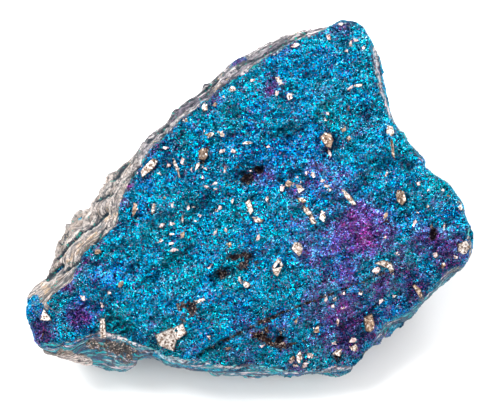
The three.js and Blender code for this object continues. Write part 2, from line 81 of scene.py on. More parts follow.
# Where the tarnished face ends, going round CENTRE from the top: host rock on the upper left,
# the pale ledge along the bottom, the undercut on the lower right and the plain right edge.
CENTRE = (1.2, -4.0)
HOST_EDGE = (
    (12.5, 27.5), (8.0, 25.9), (4.0, 23.8), (0.0, 21.0), (-4.0, 18.6), (-7.0, 15.9), (-9.5, 14.2),
    (-13.0, 11.0), (-16.5, 7.6), (-18.2, 4.6), (-20.0, 1.5), (-21.0, -1.0), (-21.5, -4.0),
    (-24.0, -6.2), (-26.6, -8.3), (-27.8, -10.6), (-28.5, -12.7), (-30.9, -14.4), (-32.3, -15.9),
)
LEDGE = (
    (-33.2, -22.4), (-28.0, -22.3), (-24.0, -21.2), (-20.0, -22.2), (-16.0, -24.0), (-10.0, -25.8),
    (-4.0, -26.7), (0.0, -26.3), (5.0, -27.1), (13.0, -26.8), (16.0, -26.2),
)
UNDERCUT = (
    (19.6, -22.7), (21.2, -19.6), (23.5, -18.2), (27.2, -15.0), (29.5, -13.8), (30.5, -12.0),
    (32.0, -10.5), (34.0, -9.7), (35.2, -8.0),
)
RIGHT_EDGE = (
    (35.4, -5.8), (35.6, -2.5), (32.8, 2.4), (29.2, 6.5), (26.0, 9.4), (22.8, 14.2), (20.6, 23.5),
    (18.8, 27.4), (15.2, 28.9),
)
# The layers of the rim run round a circle of this radius, and are drawn out this much over the
# bevels.
RIM_RADIUS = 28.0
BEVEL_DRAW = 0.8

# Patches of tarnish on the face: u, v, radius, strength.
VIOLET_PATCHES = (
    (17.5, -4.8, 6.3, 0.9), (12.0, -8.5, 4.5, 0.5), (23.5, -8.0, 4.0, 0.25), (15.5, -18.5, 6.0, 0.8),
    (20.5, -14.0, 5.5, 0.65), (8.0, -22.0, 4.5, 0.4), (-27.5, -18.0, 2.8, 0.9),
    (-33.2, -20.8, 2.2, 0.9), (3.5, 18.3, 2.3, 0.6), (31.5, -7.5, 3.8, 1.0), (9.0, 0.5, 4.5, 0.5),
    (14.0, 2.5, 4.8, 0.75), (-20.4, 0.0, 1.6, 0.7), (-16.0, 8.6, 2.0, 0.6), (22.3, 10.8, 2.0, 0.2),
    (2.0, 4.4, 2.2, 0.45), (12.0, 9.5, 3.0, 0.2), (17.5, 24.0, 2.5, 0.3), (-29.5, -13.5, 2.2, 0.7),
    (14.5, -1.0, 3.0, 0.6), (9.0, -7.0, 2.5, 0.7), (15.5, -11.0, 3.6, 0.9), (28.5, -6.2, 2.8, 0.9),
    (13.0, 5.5, 2.5, 0.3), (12.0, 17.0, 4.0, 0.45), (7.5, 14.0, 2.0, 0.5), (20.5, -21.0, 3.0, 0.75),
    (15.0, 28.0, 2.0, 0.5), (26.0, -14.0, 3.0, 0.6), (-1.8, 22.3, 1.6, 1.0), (6.0, 24.0, 3.0, 0.45),
    (-1.0, -20.0, 3.0, 0.5), (0.0, -24.5, 3.0, 0.45), (8.0, -3.5, 2.5, 0.5), (-30.5, -21.5, 2.0, 0.6),
    (7.5, -26.5, 2.0, 0.5), (-6.5, 17.0, 1.6, 0.6), (-16.0, -18.5, 2.5, 0.35), (30.5, 0.5, 2.0, 0.5),
)
MAGENTA_PATCHES = (
    (18.4, -6.0, 2.0, 1.0), (17.0, -4.0, 3.4, 0.5), (-27.2, -17.8, 2.2, 0.45), (30.5, -5.6, 2.0, 0.6),
    (14.8, -17.0, 2.2, 0.6), (-19.6, 2.4, 0.9, 0.9), (9.6, -11.6, 1.6, 0.5), (16.5, -19.2, 1.5, 0.6),
    (3.6, 18.4, 1.1, 0.6), (12.8, -12.5, 2.0, 0.5), (22.6, -6.4, 2.0, 0.3), (-33.2, -21.0, 1.2, 0.5),
    (31.5, -9.0, 1.8, 0.4),
)
CYAN_PATCHES = (
    (-6.0, 0.5, 8.0, 0.9), (-17.0, -16.0, 5.0, 0.75), (-20.0, -20.0, 3.5, 0.7), (8.0, 20.0, 5.0, 0.5),
    (28.5, 2.0, 4.5, 0.6), (-12.0, -20.0, 5.0, 0.65), (2.0, -24.5, 6.0, 0.6), (-34.5, -17.5, 2.2, 0.2),
    (14.0, 15.0, 5.0, 0.5), (-11.0, -8.0, 6.0, 0.6), (4.0, -10.0, 5.0, 0.4), (14.0, 22.0, 4.0, 0.4),
    (20.5, 6.5, 3.6, 1.0), (16.0, 1.0, 4.0, 0.7), (8.3, -7.3, 2.6, 1.0), (3.0, -8.2, 3.0, 0.9),
    (27.0, -7.0, 3.5, 0.9), (22.0, -7.0, 2.5, 0.8), (14.8, -2.4, 1.6, 0.9), (-15.0, -18.0, 3.0, 1.0),
    (-3.0, -7.5, 3.0, 0.8), (12.5, -16.0, 3.0, 0.8), (3.0, 20.5, 2.0, 0.8), (18.5, 20.5, 2.0, 0.8),
    (-8.5, -1.2, 3.0, 0.8), (-14.0, -5.0, 3.2, 0.8), (-24.0, -8.5, 2.6, 0.8), (-15.5, -17.5, 4.0, 1.0),
    (-1.5, -14.0, 2.0, 0.9), (-4.0, -19.0, 4.0, 0.75), (7.0, -20.0, 2.5, 0.7), (13.0, -15.5, 3.0, 0.6),
    (10.0, 14.5, 4.0, 0.6), (6.5, 3.5, 3.0, 0.5), (26.0, -7.0, 3.0, 0.6), (24.5, 8.0, 2.4, 0.7),
    (-31.0, -16.5, 2.0, 0.8), (-31.0, -21.0, 1.5, 0.7), (-20.0, -18.5, 3.0, 0.9),
    (31.5, -4.5, 2.0, 0.6), (20.0, -6.5, 3.0, 0.4), (5.5, -21.0, 2.0, 0.6), (-16.0, 8.0, 2.5, 0.6),
    (7.5, 0.5, 3.0, 0.5),
)
# Places where the blue is purer, and where it turns sea green, in the same way.
AZURE_PATCHES = (
    (-17.0, -16.0, 4.5, 0.9), (2.5, 2.0, 5.0, 0.8), (-4.0, -19.5, 4.0, 0.6), (8.0, -22.0, 5.0, 0.5),
    (27.0, 6.0, 4.0, 0.4), (6.0, 23.0, 4.0, 0.5), (-27.0, -14.0, 3.0, 0.6), (-34.6, -17.0, 2.0, 0.8),
    (-0.5, 3.0, 3.5, 1.0), (-9.0, 8.5, 4.0, 0.9), (-8.5, -5.5, 2.0, 1.0), (-18.8, -14.8, 2.5, 1.0),
    (4.8, 13.2, 1.6, 1.0), (12.5, -13.5, 2.2, 0.9), (-24.0, -18.0, 1.8, 0.7), (13.0, 9.5, 1.8, 0.8),
    (26.5, -5.0, 4.0, 0.9), (9.0, -5.0, 3.5, 0.8), (14.0, -13.0, 3.0, 0.7), (-19.0, -14.0, 4.0, 0.9),
    (-12.0, 6.5, 4.5, 0.6), (10.0, 8.0, 5.0, 0.6), (19.0, 4.0, 4.5, 0.7), (20.0, -3.0, 4.0, 0.7),
    (4.0, 14.0, 2.6, 0.7), (-2.0, -24.0, 3.0, 0.7), (17.0, 23.0, 3.0, 0.5), (0.0, 3.0, 3.0, 0.8),
)
SEA_PATCHES = (
    (25.5, 6.5, 2.2, 0.8), (30.0, 3.2, 2.0, 0.7), (-8.5, -13.0, 2.5, 0.9), (-28.5, -12.8, 1.8, 0.9),
    (-15.5, 4.5, 2.5, 0.6), (-33.5, -21.5, 2.0, 0.6), (7.5, -26.5, 2.2, 0.9), (-6.5, -20.5, 2.5, 0.7),
    (11.0, 21.5, 3.0, 0.5), (-4.0, 9.0, 2.5, 0.5), (-8.5, 12.5, 2.2, 0.9), (4.0, -5.0, 3.0, 0.5),
    (-20.5, -20.0, 3.0, 1.0), (-12.5, -8.0, 4.0, 0.6), (-13.0, -23.0, 4.0, 0.9),
    (22.0, -14.5, 3.0, 0.8), (-4.0, -24.5, 5.0, 0.8), (8.0, -25.8, 5.0, 0.8), (-3.5, -12.0, 3.0, 0.6),
    (10.5, 14.0, 4.0, 0.5), (-22.0, -19.0, 3.6, 0.9), (-4.0, 14.5, 4.2, 0.9), (-7.0, -16.0, 5.0, 0.7),
    (-9.5, 11.0, 2.6, 0.7), (1.0, 18.0, 2.6, 0.7), (21.0, -15.5, 3.0, 0.9), (-22.0, -26.0, 3.0, 1.0),
    (12.0, -21.0, 3.2, 0.6), (-28.5, -20.5, 3.0, 0.4), (26.0, -9.5, 2.2, 0.5), (22.0, 11.0, 2.5, 0.5),
)
# Places where the tarnish is darker, in the same way: partly duller tarnish, partly painted shade on
# the lower right, the left tip and the bottom.
DULL_AND_SHADE_PATCHES = (
    (-28.0, -18.5, 3.6, 0.9), (-32.8, -21.2, 2.0, 0.8), (22.0, -13.5, 5.5, 0.55),
    (17.0, -20.0, 6.0, 0.7), (10.0, -23.5, 5.5, 0.5), (30.0, -8.5, 4.5, 0.6), (0.0, 4.2, 3.0, 0.6),
    (-21.5, -22.5, 4.0, 0.6), (-3.5, -10.5, 3.0, 0.45), (3.5, -21.8, 3.0, 0.6), (14.5, -11.5, 4.0, 0.3),
    (13.0, 0.0, 3.5, 0.35), (-25.0, -9.5, 3.0, 0.5), (5.0, 10.5, 3.0, 0.35), (-18.0, 5.0, 2.5, 0.4),
    (6.0, 15.5, 4.0, 0.25), (16.5, 22.0, 3.6, 0.45), (3.0, 17.5, 2.6, 0.4), (-4.0, 16.0, 3.0, 0.5),
    (-11.5, 8.0, 3.2, 0.65), (-2.0, 6.5, 3.0, 0.55), (-10.5, 3.5, 3.0, 0.5), (-27.5, -19.0, 3.0, 1.0),
    (15.5, 28.5, 2.2, 0.8), (17.5, -26.0, 3.5, 1.0), (26.0, 1.5, 2.6, 0.5), (1.0, -11.5, 3.0, 0.45),
    (-3.0, -25.0, 5.0, 0.5), (24.5, -17.0, 3.5, 0.9), (31.5, -11.0, 3.0, 0.9), (-21.5, 0.0, 2.0, 0.6),
    (-26.5, -22.6, 3.5, 1.0), (-30.0, -13.6, 2.0, 0.8), (-34.5, -20.0, 1.6, 0.9),
    (-30.0, -24.8, 2.4, 0.8), (-1.8, 22.3, 1.6, 0.7), (-13.5, -22.5, 2.5, 0.5), (-4.0, 6.2, 3.0, 0.9),
    (-6.5, 3.2, 3.0, 0.65), (-22.0, -3.0, 2.0, 0.7), (13.5, 10.0, 3.0, 0.7), (13.0, -11.2, 2.6, 0.7),
    (-8.0, -18.0, 2.2, 0.6), (2.0, -24.0, 4.0, 0.7), (9.0, -23.8, 3.0, 0.6), (15.5, 24.0, 3.0, 0.6),
    (27.5, 0.8, 2.0, 0.6), (7.0, -11.5, 2.4, 0.5), (5.5, 17.5, 2.0, 0.5), (18.9, 14.1, 1.3, 1.0),
    (-28.0, -22.0, 2.5, 0.8), (-1.0, 7.6, 3.5, 0.8), (-9.0, 3.0, 4.5, 0.8), (-3.0, 4.5, 2.5, 0.8),
    (-22.5, -16.0, 1.6, 0.7), (-24.5, -18.5, 1.8, 0.7), (5.0, 6.5, 3.0, 0.4), (15.0, 13.5, 3.0, 0.4),
    (3.5, -12.0, 2.2, 0.6), (-7.5, -9.5, 1.6, 0.6), (9.5, 9.0, 3.0, 0.4), (-5.0, 15.0, 3.0, 0.4),
    (-20.0, -1.5, 3.0, 0.4), (-25.0, -13.0, 2.0, 0.5), (-8.5, -18.0, 2.0, 0.6), (-14.0, 2.0, 2.4, 0.4),
    (25.0, -12.5, 3.5, 0.5), (-25.0, -17.0, 2.0, 0.6), (4.0, -23.5, 3.5, 0.6),
)
# Dark hollows and brown pits: u, v, radius along, radius across, turn in degrees, strength.
# Those of full strength are deep.
PITS = (
    (-0.45, 3.5, 1.1, 0.75, 15, 1.0), (29.3, -5.4, 0.9, 0.6, 80, 1.0), (-4.4, -11.7, 1.2, 0.7, 20, 0.8),
    (1.8, -21.5, 1.5, 0.95, 20, 0.95), (2.6, -20.5, 0.8, 0.5, 60, 0.8),
    (4.7, -22.2, 1.5, 0.8, 80, 0.95), (3.3, -22.8, 1.0, 0.5, -10, 0.9),
    (-21.0, -23.5, 3.7, 1.3, -20, 0.97), (-33.0, -21.0, 1.2, 0.8, 40, 0.65),
    (14.2, -25.2, 1.1, 0.9, 40, 0.8), (1.2, -21.4, 1.1, 0.7, 10, 1.0), (2.7, -22.3, 0.8, 0.6, 0, 1.0),
    (4.8, -23.0, 0.9, 0.7, 0, 0.95), (1.5, 5.1, 0.6, 0.6, 0, 1.0), (-1.6, 5.6, 0.7, 0.4, 30, 0.6),
    (-10.0, 11.6, 0.6, 0.5, 0, 0.7), (14.3, 8.8, 0.5, 0.4, 0, 0.6), (10.5, 6.3, 0.5, 0.4, 0, 0.7),
    (21.8, -3.3, 0.8, 0.4, 0, 0.7), (14.5, -25.4, 0.7, 0.5, 0, 0.8),
    (-25.0, -22.9, 1.7, 0.8, -15, 0.85),
)

# Lines on the face. Each row of the tables below is from, to, width, strength.
# Brown cracks and streaks.
CRACKS = (
    ((-3.5, -9.2), (-1.5, -8.8), 0.35, 0.9), ((-1.2, -8.6), (-0.2, -8.9), 0.6, 1.0),
    ((-0.4, -9.2), (-1.2, -10.3), 0.6, 1.0), ((1.0, -9.7), (1.5, -10.5), 0.35, 0.8),
    ((-10.6, -16.5), (-9.0, -16.7), 0.75, 0.72), ((-9.0, -16.8), (-8.6, -18.2), 0.4, 0.7),
    ((-10.9, -16.5), (-9.2, -16.6), 0.6, 0.9), ((-9.6, -16.6), (-9.3, -17.9), 0.6, 0.9),
    ((-11.6, -16.6), (-10.6, -16.5), 0.4, 0.7), ((-11.3, -16.8), (-11.0, -18.2), 0.4, 0.7),
    ((-10.9, -18.6), (-10.8, -19.3), 0.5, 0.8), ((29.2, -3.8), (29.3, -4.6), 0.35, 0.9),
    ((-8.5, -24.9), (-4.5, -22.6), 0.30, 0.66), ((-4.5, -22.6), (-0.9, -20.7), 0.30, 0.7),
    ((-0.9, -20.7), (4.3, -18.2), 0.28, 0.72), ((1.4, -19.5), (4.2, -18.5), 0.42, 0.9),
    ((4.3, -18.2), (11.9, -15.4), 0.26, 0.66), ((5.5, -23.4), (8.6, -22.4), 0.4, 0.6),
    ((11.9, -15.4), (18.3, -12.9), 0.26, 0.66), ((18.3, -12.9), (21.5, -11.6), 0.24, 0.6),
    ((11.2, 1.2), (13.6, -0.4), 0.4, 0.6), ((8.4, -0.6), (10.8, -4.4), 0.35, 0.6),
    ((-2.6, -11.2), (-6.2, -12.8), 0.3, 0.4), ((23.0, -13.6), (26.0, -11.8), 0.25, 0.4),
    ((-7.6, 6.4), (-7.0, 8.6), 0.5, 0.8),
)
# Drawn-out folds, sunk in the relief and darkened by painted shade through the hollow mask.
FOLDS = (
    ((-2.4, 2.8), (2.4, 5.6), 1.2, 0.5), ((2.4, 10.0), (6.4, 11.4), 0.9, 0.6),
    ((-5.6, -12.2), (0.0, -8.6), 1.0, 0.7), ((-16.8, -13.0), (-10.1, -8.2), 1.0, 0.7),
    ((-22.4, -18.6), (-16.0, -23.8), 1.3, 0.7), ((-8.0, -24.6), (-0.8, -20.6), 0.7, 0.7),
    ((-15.5, -2.2), (-11.7, -2.8), 0.8, 0.6), ((-11.7, -2.8), (-6.9, -4.8), 0.35, 0.6),
    ((-2.2, -2.3), (-1.4, -3.0), 0.5, 0.6), ((17.8, 2.8), (24.8, 6.6), 0.9, 0.1),
    ((20.6, 0.6), (23.4, -1.8), 1.2, 0.25), ((-6.8, 0.7), (-4.9, 0.4), 0.3, 0.6),
    ((-3.4, 1.2), (-1.1, 0.9), 0.4, 0.5), ((-2.1, 6.4), (-1.1, 5.7), 0.5, 0.6),
    ((24.0, -7.8), (12.8, -27.0), 2.2, 0.45), ((2.0, -19.4), (20.0, -11.6), 1.0, 0.45),
)
# Grooves between the plates of the host rock, sunk in the relief and painted nearly black as their
# shade.
HOST_GROOVES = (
    ((-23.0, -2.0), (-27.0, -5.4), 0.30, 1.0), ((-27.0, -5.4), (-31.0, -9.2), 0.34, 1.0),
    ((-30.4, -10.4), (-32.6, -12.6), 0.55, 0.9), ((-26.4, -9.0), (-30.0, -11.6), 0.28, 0.8),
    ((-24.8, -6.6), (-23.2, -4.4), 0.28, 0.8), ((-22.2, 1.2), (-24.8, 0.0), 0.30, 0.8),
    ((-18.8, 3.8), (-13.6, 10.8), 0.30, 0.8), ((-12.0, 14.2), (-3.0, 22.0), 0.28, 0.8),
    ((-2.0, 21.4), (9.0, 26.9), 0.3, 0.8), ((-28.6, -2.6), (-26.0, -0.4), 0.45, 0.5),
    ((-22.0, 3.5), (-19.5, 6.5), 0.35, 0.7), ((-30.6, -7.2), (-29.0, -5.4), 0.45, 0.45),
    ((-16.4, 9.4), (-13.2, 12.2), 0.30, 0.7), ((-9.0, 16.4), (-5.0, 19.6), 0.25, 0.6),
)
# Bits of host rock outside its own side of the face.
HOST_PATCHES = (
    ((-30.2, -23.7), (-26.0, -24.9), 0.95, 1.0), ((-33.6, -22.9), (-31.0, -23.9), 0.5, 0.8),
    ((-33.6, -15.6), (-32.4, -17.0), 0.5, 0.9), ((34.9, -5.6), (35.0, -9.0), 0.35, 0.7),
)
# Gaps in the host rock where the tarnish shows.
HOST_GAPS = (
    ((-2.8, 21.8), (-0.8, 23.0), 0.50, 0.9), ((-27.5, -3.2), (-27.1, -2.9), 0.20, 0.8),
    ((-31.6, -11.4), (-30.6, -10.6), 0.20, 0.85), ((-34.4, -16.1), (-36.0, -16.8), 0.95, 1.0),
)
# Where the host rock is tan, and where it is cream.
HOST_TAN = (
    ((-24.6, -5.6), (-27.4, -8.0), 0.7, 1.0), ((-27.4, -8.0), (-29.4, -9.8), 0.4, 0.8),
    ((-33.0, -14.0), (-31.6, -15.4), 0.7, 0.9), ((-23.0, -3.0), (-21.6, -2.2), 0.6, 0.8),
    ((-24.8, 4.2), (-22.8, 4.8), 0.8, 0.5), ((-9.0, 15.6), (-13.0, 12.0), 0.3, 0.5),
)
HOST_CREAM = (
    ((-8.2, 16.5), (-5.4, 18.5), 0.40, 0.9), ((-29.0, -3.6), (-27.0, -2.0), 0.6, 0.6),
    ((-27.6, -9.6), (-25.6, -7.6), 0.35, 0.6), ((-30.2, -23.7), (-26.0, -24.9), 0.8, 1.0),
    ((-7.6, 17.4), (-5.0, 19.6), 0.45, 0.8), ((6.5, 26.6), (10.5, 27.6), 0.4, 0.7),
)
# The dusky streak along the inner side of the host rock.
HOST_DUSK = (
    ((-12.4, 13.0), (-9.6, 15.5), 0.50, 0.9), ((-9.6, 15.5), (-6.1, 17.2), 0.50, 0.9),
    ((-6.1, 17.2), (-2.0, 20.5), 0.45, 0.9), ((-2.0, 20.5), (1.0, 22.5), 0.40, 0.7),
    ((1.0, 22.5), (4.4, 24.9), 0.50, 1.0), ((4.4, 24.9), (6.2, 25.8), 0.40, 0.8),
)
# The pinkish edge of the tarnish along the host rock.
ROSE_LINES = (
    ((-23.6, -6.4), (-28.0, -11.8), 0.42, 0.75), ((-28.0, -11.8), (-32.6, -15.6), 0.45, 0.75),
    ((-34.6, -17.0), (-34.0, -21.4), 0.5, 0.5), ((-16.6, 6.8), (-8.0, 14.6), 0.5, 0.3),
    ((-1.0, 20.4), (8.0, 25.6), 0.5, 0.35),
)
# Swellings and hollows of the outline: from, to, width, height in mm.
BULGES = (
    ((-32.0, -24.4), (-27.0, -25.8), 2.2, 1.2), ((-27.0, -25.8), (-20.5, -26.4), 2.0, 1.3),
    ((14.5, -27.4), (17.5, -25.4), 1.8, 0.8), ((25.2, -17.6), (27.6, -16.2), 1.8, 0.7),
    ((-31.4, -6.0), (-28.6, -2.6), 2.2, 0.6), ((-12.0, 15.4), (-10.0, 17.0), 1.5, 0.4),
    ((34.8, -9.6), (35.4, -6.0), 1.2, 0.3), ((-18.0, -26.4), (-15.6, -26.0), 1.2, -0.7),
)
# Where the undercut on the lower right is pale, the painted highlight along the rims, and the pale
# edges, partly crust and partly painted highlight.
PALE_CUTS = (
    ((19.6, -22.6), (24.4, -18.8), 1.1, 1.0), ((28.6, -14.4), (34.6, -8.8), 1.0, 0.95),
)
# Painted highlight along the rims.
PAINTED_RIM_HIGHLIGHTS = (
    ((19.5, 24.5), (21.1, 17.5), 0.40, 0.84), ((21.1, 17.5), (22.4, 13.4), 0.38, 0.86),
    ((22.6, 13.4), (24.9, 9.8), 0.40, 0.80), ((24.9, 9.8), (27.4, 6.4), 0.28, 0.70),
    ((27.4, 6.4), (32.4, 2.0), 0.22, 0.58), ((32.4, 2.0), (34.4, -2.4), 0.25, 0.60),
    ((12.8, -26.9), (16.8, -26.2), 0.35, 0.8), ((34.9, -4.6), (35.1, -8.0), 0.25, 0.8),
)
# Pale lines along the edges: partly crust, partly painted highlight.
PALE_EDGES = (
    ((-24.2, -21.2), (-20.0, -22.2), 0.55, 0.95), ((-20.0, -22.2), (-16.0, -23.8), 0.32, 0.90),
    ((-15.5, -24.4), (-6.0, -26.2), 0.25, 0.85), ((-6.0, -26.3), (2.0, -27.1), 0.28, 0.88),
    ((6.9, -27.0), (16.2, -26.1), 0.30, 0.95), ((2.0, -27.1), (6.5, -28.0), 0.42, 1.0),
    ((-16.0, -24.0), (-12.0, -25.6), 0.22, 0.9), ((-23.6, -19.2), (-23.8, -21.4), 0.45, 1.0),
    ((-34.8, -16.2), (-31.0, -17.4), 0.25, 0.7), ((-33.4, -15.6), (-34.8, -19.4), 0.22, 0.5),
    ((-30.4, -19.6), (-27.4, -21.0), 0.25, 0.55), ((29.0, 6.5), (32.6, 2.4), 0.30, 0.5),
    ((15.0, 28.6), (18.4, 27.6), 0.30, 0.5), ((35.0, -4.2), (30.4, -6.6), 0.20, 0.55),
    ((30.4, -6.6), (25.6, -8.1), 0.18, 0.5), ((25.6, -8.1), (20.8, -9.9), 0.18, 0.5),
    ((-19.6, -23.2), (-15.6, -24.6), 0.30, 0.8), ((-27.6, -21.7), (-24.2, -21.2), 0.25, 0.7),
    ((-23.2, -21.4), (-21.2, -21.8), 0.65, 1.0),
)

# Brassy crystals on the face: u, v, length, width, turn in degrees, and how pale, 0 to 1.
CRYSTALS = (
    (1.3, -2.9, 1.5, 1.0, -20, 0.95), (-8.4, 5.8, 1.5, 0.5, 70, 0.9), (-0.2, -0.7, 2.6, 0.85, -72, 1.0),
    (9.2, -1.6, 1.8, 0.75, -60, 0.6), (10.0, -2.9, 1.8, 0.75, -60, 0.6),
    (11.5, -2.3, 1.8, 1.0, 85, 0.95), (-8.0, -15.9, 1.4, 0.8, 20, 1.0),
    (-0.7, -13.3, 1.5, 1.0, -40, 0.85), (-18.4, -1.2, 1.8, 0.8, 80, 0.5),
    (12.2, -15.6, 1.2, 0.6, 85, 0.8), (13.5, -15.7, 0.7, 0.5, 0, 0.8), (13.2, -16.8, 0.7, 0.5, 40, 0.7),
    (15.0, -17.1, 0.8, 0.5, 20, 0.7), (15.0, -14.7, 0.7, 0.5, 60, 0.8), (17.7, -14.7, 0.7, 0.5, 0, 0.6),
    (10.8, -20.6, 1.2, 1.0, 70, 0.7), (14.1, -19.3, 1.2, 0.5, 85, 0.6),
    (16.7, -22.4, 1.2, 0.8, 10, 0.7), (16.8, -23.7, 1.3, 1.2, 0, 0.8), (14.3, -24.3, 1.5, 1.0, 15, 0.2),
    (13.6, -22.9, 0.8, 0.5, 0, 0.6), (8.0, -25.2, 1.7, 0.9, 80, 0.95), (6.7, -25.7, 1.0, 0.7, 0, 0.85),
    (9.0, -26.0, 0.9, 0.7, 0, 0.85), (9.5, -24.8, 0.9, 0.7, 0, 0.8), (-3.5, -23.6, 0.8, 0.5, 30, 0.6),
    (1.9, -23.2, 0.7, 0.5, 0, 0.5), (-6.6, -21.8, 0.8, 0.7, 0, 0.7), (22.8, 8.4, 2.9, 0.6, -80, 0.45),
    (15.0, 11.5, 0.9, 0.8, 30, 0.3), (15.9, 10.2, 0.8, 0.7, 0, 0.3), (12.7, 7.8, 1.2, 0.5, -70, 0.6),
    (21.7, -2.2, 1.1, 0.7, 60, 0.5), (26.4, -3.5, 1.2, 0.5, 70, 0.95), (29.7, -8.6, 0.9, 0.8, 40, 0.2),
    (31.1, -10.3, 0.9, 0.7, 60, 0.4), (22.6, -10.8, 1.5, 0.7, -75, 0.8),
    (20.3, -11.0, 1.2, 0.8, 20, 0.4), (23.4, -8.3, 0.8, 0.5, 0, 0.6),
    (27.0, -14.3, 2.6, 0.7, -60, 0.45), (33.7, -0.8, 1.6, 0.9, -60, 0.6),
    (21.9, 4.4, 1.1, 0.4, 60, 0.5), (26.9, 2.9, 0.7, 0.6, 0, 0.7), (26.9, -1.8, 0.4, 0.3, 0, 0.9),
    (21.6, -5.7, 0.5, 0.4, 0, 0.9), (15.7, 14.8, 0.7, 0.4, 60, 0.6), (30.8, 1.8, 0.7, 0.5, 0, 0.7),
    (31.7, 1.0, 0.6, 0.5, 0, 0.8), (28.5, 1.8, 0.6, 0.5, 50, 0.6), (28.5, -0.8, 0.6, 0.5, 0, 0.6),
    (31.1, -4.0, 1.2, 0.4, 80, 0.7), (33.1, -8.9, 0.7, 0.5, 0, 0.6), (12.6, 26.3, 1.0, 0.7, 80, 0.8),
    (7.2, 25.0, 1.2, 0.8, 10, 0.5), (14.6, 28.5, 1.0, 0.5, 0, 0.7), (16.1, 25.2, 0.9, 0.4, 80, 0.8),
    (17.0, 25.8, 0.7, 0.6, 0, 0.7), (18.1, 24.6, 0.6, 0.5, 0, 0.7), (15.6, 24.1, 0.6, 0.5, 30, 0.8),
    (4.8, 19.2, 1.9, 0.7, -55, 0.9), (4.3, 17.3, 0.9, 0.6, 70, 0.7), (6.4, 16.8, 1.2, 0.9, 70, 0.8),
    (16.0, 18.1, 1.2, 0.5, 40, 0.7), (17.3, 18.5, 1.5, 0.5, 0, 0.7), (12.0, 13.1, 0.8, 0.6, 0, 0.8),
    (12.4, 14.0, 0.7, 0.5, 0, 0.7), (2.9, 8.8, 0.6, 0.5, 0, 0.8), (9.0, 4.6, 0.8, 0.5, 60, 0.6),
    (10.1, 4.3, 0.9, 0.5, 110, 0.6), (7.6, 3.9, 0.6, 0.4, 0, 0.9), (6.2, 2.9, 1.2, 1.0, 0, 0.75),
    (5.1, 2.1, 1.1, 0.75, 70, 0.95), (7.9, 2.2, 1.9, 1.5, -60, 0.8), (8.4, 0.3, 1.6, 0.8, -15, 0.15),
    (11.5, 3.3, 0.8, 0.6, 20, 0.8), (12.3, 2.5, 0.8, 0.6, 0, 0.7), (12.7, 1.8, 0.7, 0.5, 60, 0.5),
    (-0.3, 9.4, 1.4, 0.5, 8, 0.9), (-4.5, 8.0, 0.9, 0.6, 30, 0.9), (-2.6, 8.1, 0.9, 0.7, 0, 0.85),
    (-7.6, 3.8, 0.5, 0.3, 80, 0.9), (-7.2, 8.3, 0.8, 0.5, 20, 0.9), (-7.4, 11.1, 0.7, 0.5, 0, 0.7),
    (-6.2, 10.7, 1.8, 0.9, 25, 0.85), (-4.6, 10.8, 1.4, 0.6, -25, 0.8), (-7.2, 15.1, 1.3, 1.0, 60, 0.7),
    (-5.6, 15.6, 0.8, 0.6, 70, 0.7), (-2.8, 18.1, 1.1, 0.8, 20, 0.7), (0.4, 19.4, 0.7, 0.5, 0, 0.7),
    (-4.2, 16.8, 0.6, 0.4, 0, 0.7), (-10.4, 13.0, 0.8, 0.6, 0, 0.7), (-11.7, 5.3, 2.9, 0.55, -72, 0.95),
    (-10.8, 6.5, 1.0, 0.6, 80, 0.8), (-13.0, 5.8, 0.8, 0.5, 80, 0.7), (-13.5, 8.6, 0.9, 0.4, 0, 0.7),
    (-7.2, 5.3, 0.8, 0.4, -30, 0.9), (-9.4, 5.0, 0.8, 0.3, 80, 0.8), (-4.0, 5.0, 1.1, 0.3, 80, 0.9),
    (-5.6, 2.9, 0.9, 0.4, 0, 0.9), (-5.5, 2.1, 0.6, 0.5, 0, 0.8), (-6.9, 2.4, 0.7, 0.6, 0, 0.9),
    (-3.2, -6.9, 0.8, 0.7, 0, 0.8), (-6.4, -10.4, 0.8, 0.5, 80, 0.6), (-10.8, -5.3, 1.0, 0.7, 80, 0.8),
    (-12.2, -7.8, 1.1, 0.5, 10, 0.9), (-14.2, -3.9, 1.0, 0.6, 30, 0.9),
    (-12.5, -3.6, 0.9, 0.4, 10, 0.8), (-10.8, -2.8, 1.0, 0.4, 85, 0.8),
    (-15.5, -1.2, 1.4, 0.55, 80, 0.9), (-12.4, -0.5, 0.9, 0.4, 85, 0.7),
    (-4.8, -1.0, 0.9, 0.5, 80, 0.7), (-2.8, 0.2, 1.0, 0.4, 75, 0.8), (2.7, 0.4, 1.1, 0.5, -60, 0.8),
    (-24.3, -8.0, 1.0, 0.7, 30, 0.8), (-20.7, -13.2, 0.9, 0.7, 60, 0.6),
    (-26.7, -15.5, 1.0, 0.7, -40, 0.6), (-22.6, -14.6, 0.8, 0.6, 0, 0.6),
    (-23.7, -16.6, 0.8, 0.6, 80, 0.5), (0.05, 4.9, 0.6, 0.3, 0, 0.9), (-13.6, 0.6, 0.5, 0.35, 60, 0.7),
    (-9.8, -1.0, 1.1, 0.4, 80, 0.8), (-9.1, -0.9, 0.4, 0.3, 0, 0.8), (-5.3, -1.45, 0.5, 0.4, 0, 0.8),
    (-8.7, -3.1, 0.45, 0.3, 0, 0.9), (-8.0, -2.2, 0.8, 0.35, -35, 0.9),
    (-12.5, -5.2, 0.9, 0.35, 5, 0.7), (-12.5, -6.7, 0.9, 0.4, 0, 0.9), (-14.3, -6.3, 0.8, 0.6, 30, 0.4),
    (-5.6, -5.0, 1.2, 0.45, 60, 0.1), (-3.9, -4.6, 0.9, 0.35, -65, 0.8), (1.3, -5.8, 0.9, 0.5, 70, 0.3),
    (-14.4, 4.4, 0.6, 0.5, 0, 0.5), (-1.6, -12.5, 1.1, 0.6, -60, 0.8), (21.0, -16.1, 1.0, 0.6, 60, 0.7),
    (23.2, -15.1, 0.8, 0.5, 40, 0.7), (7.4, -19.2, 1.0, 0.4, 80, 0.4), (7.4, -26.4, 0.9, 0.5, 0, 0.7),
    (8.8, -26.5, 0.9, 0.6, 20, 0.7), (9.9, -24.9, 0.8, 0.5, 80, 0.6), (6.8, -25.2, 0.9, 0.6, 30, 0.6),
)

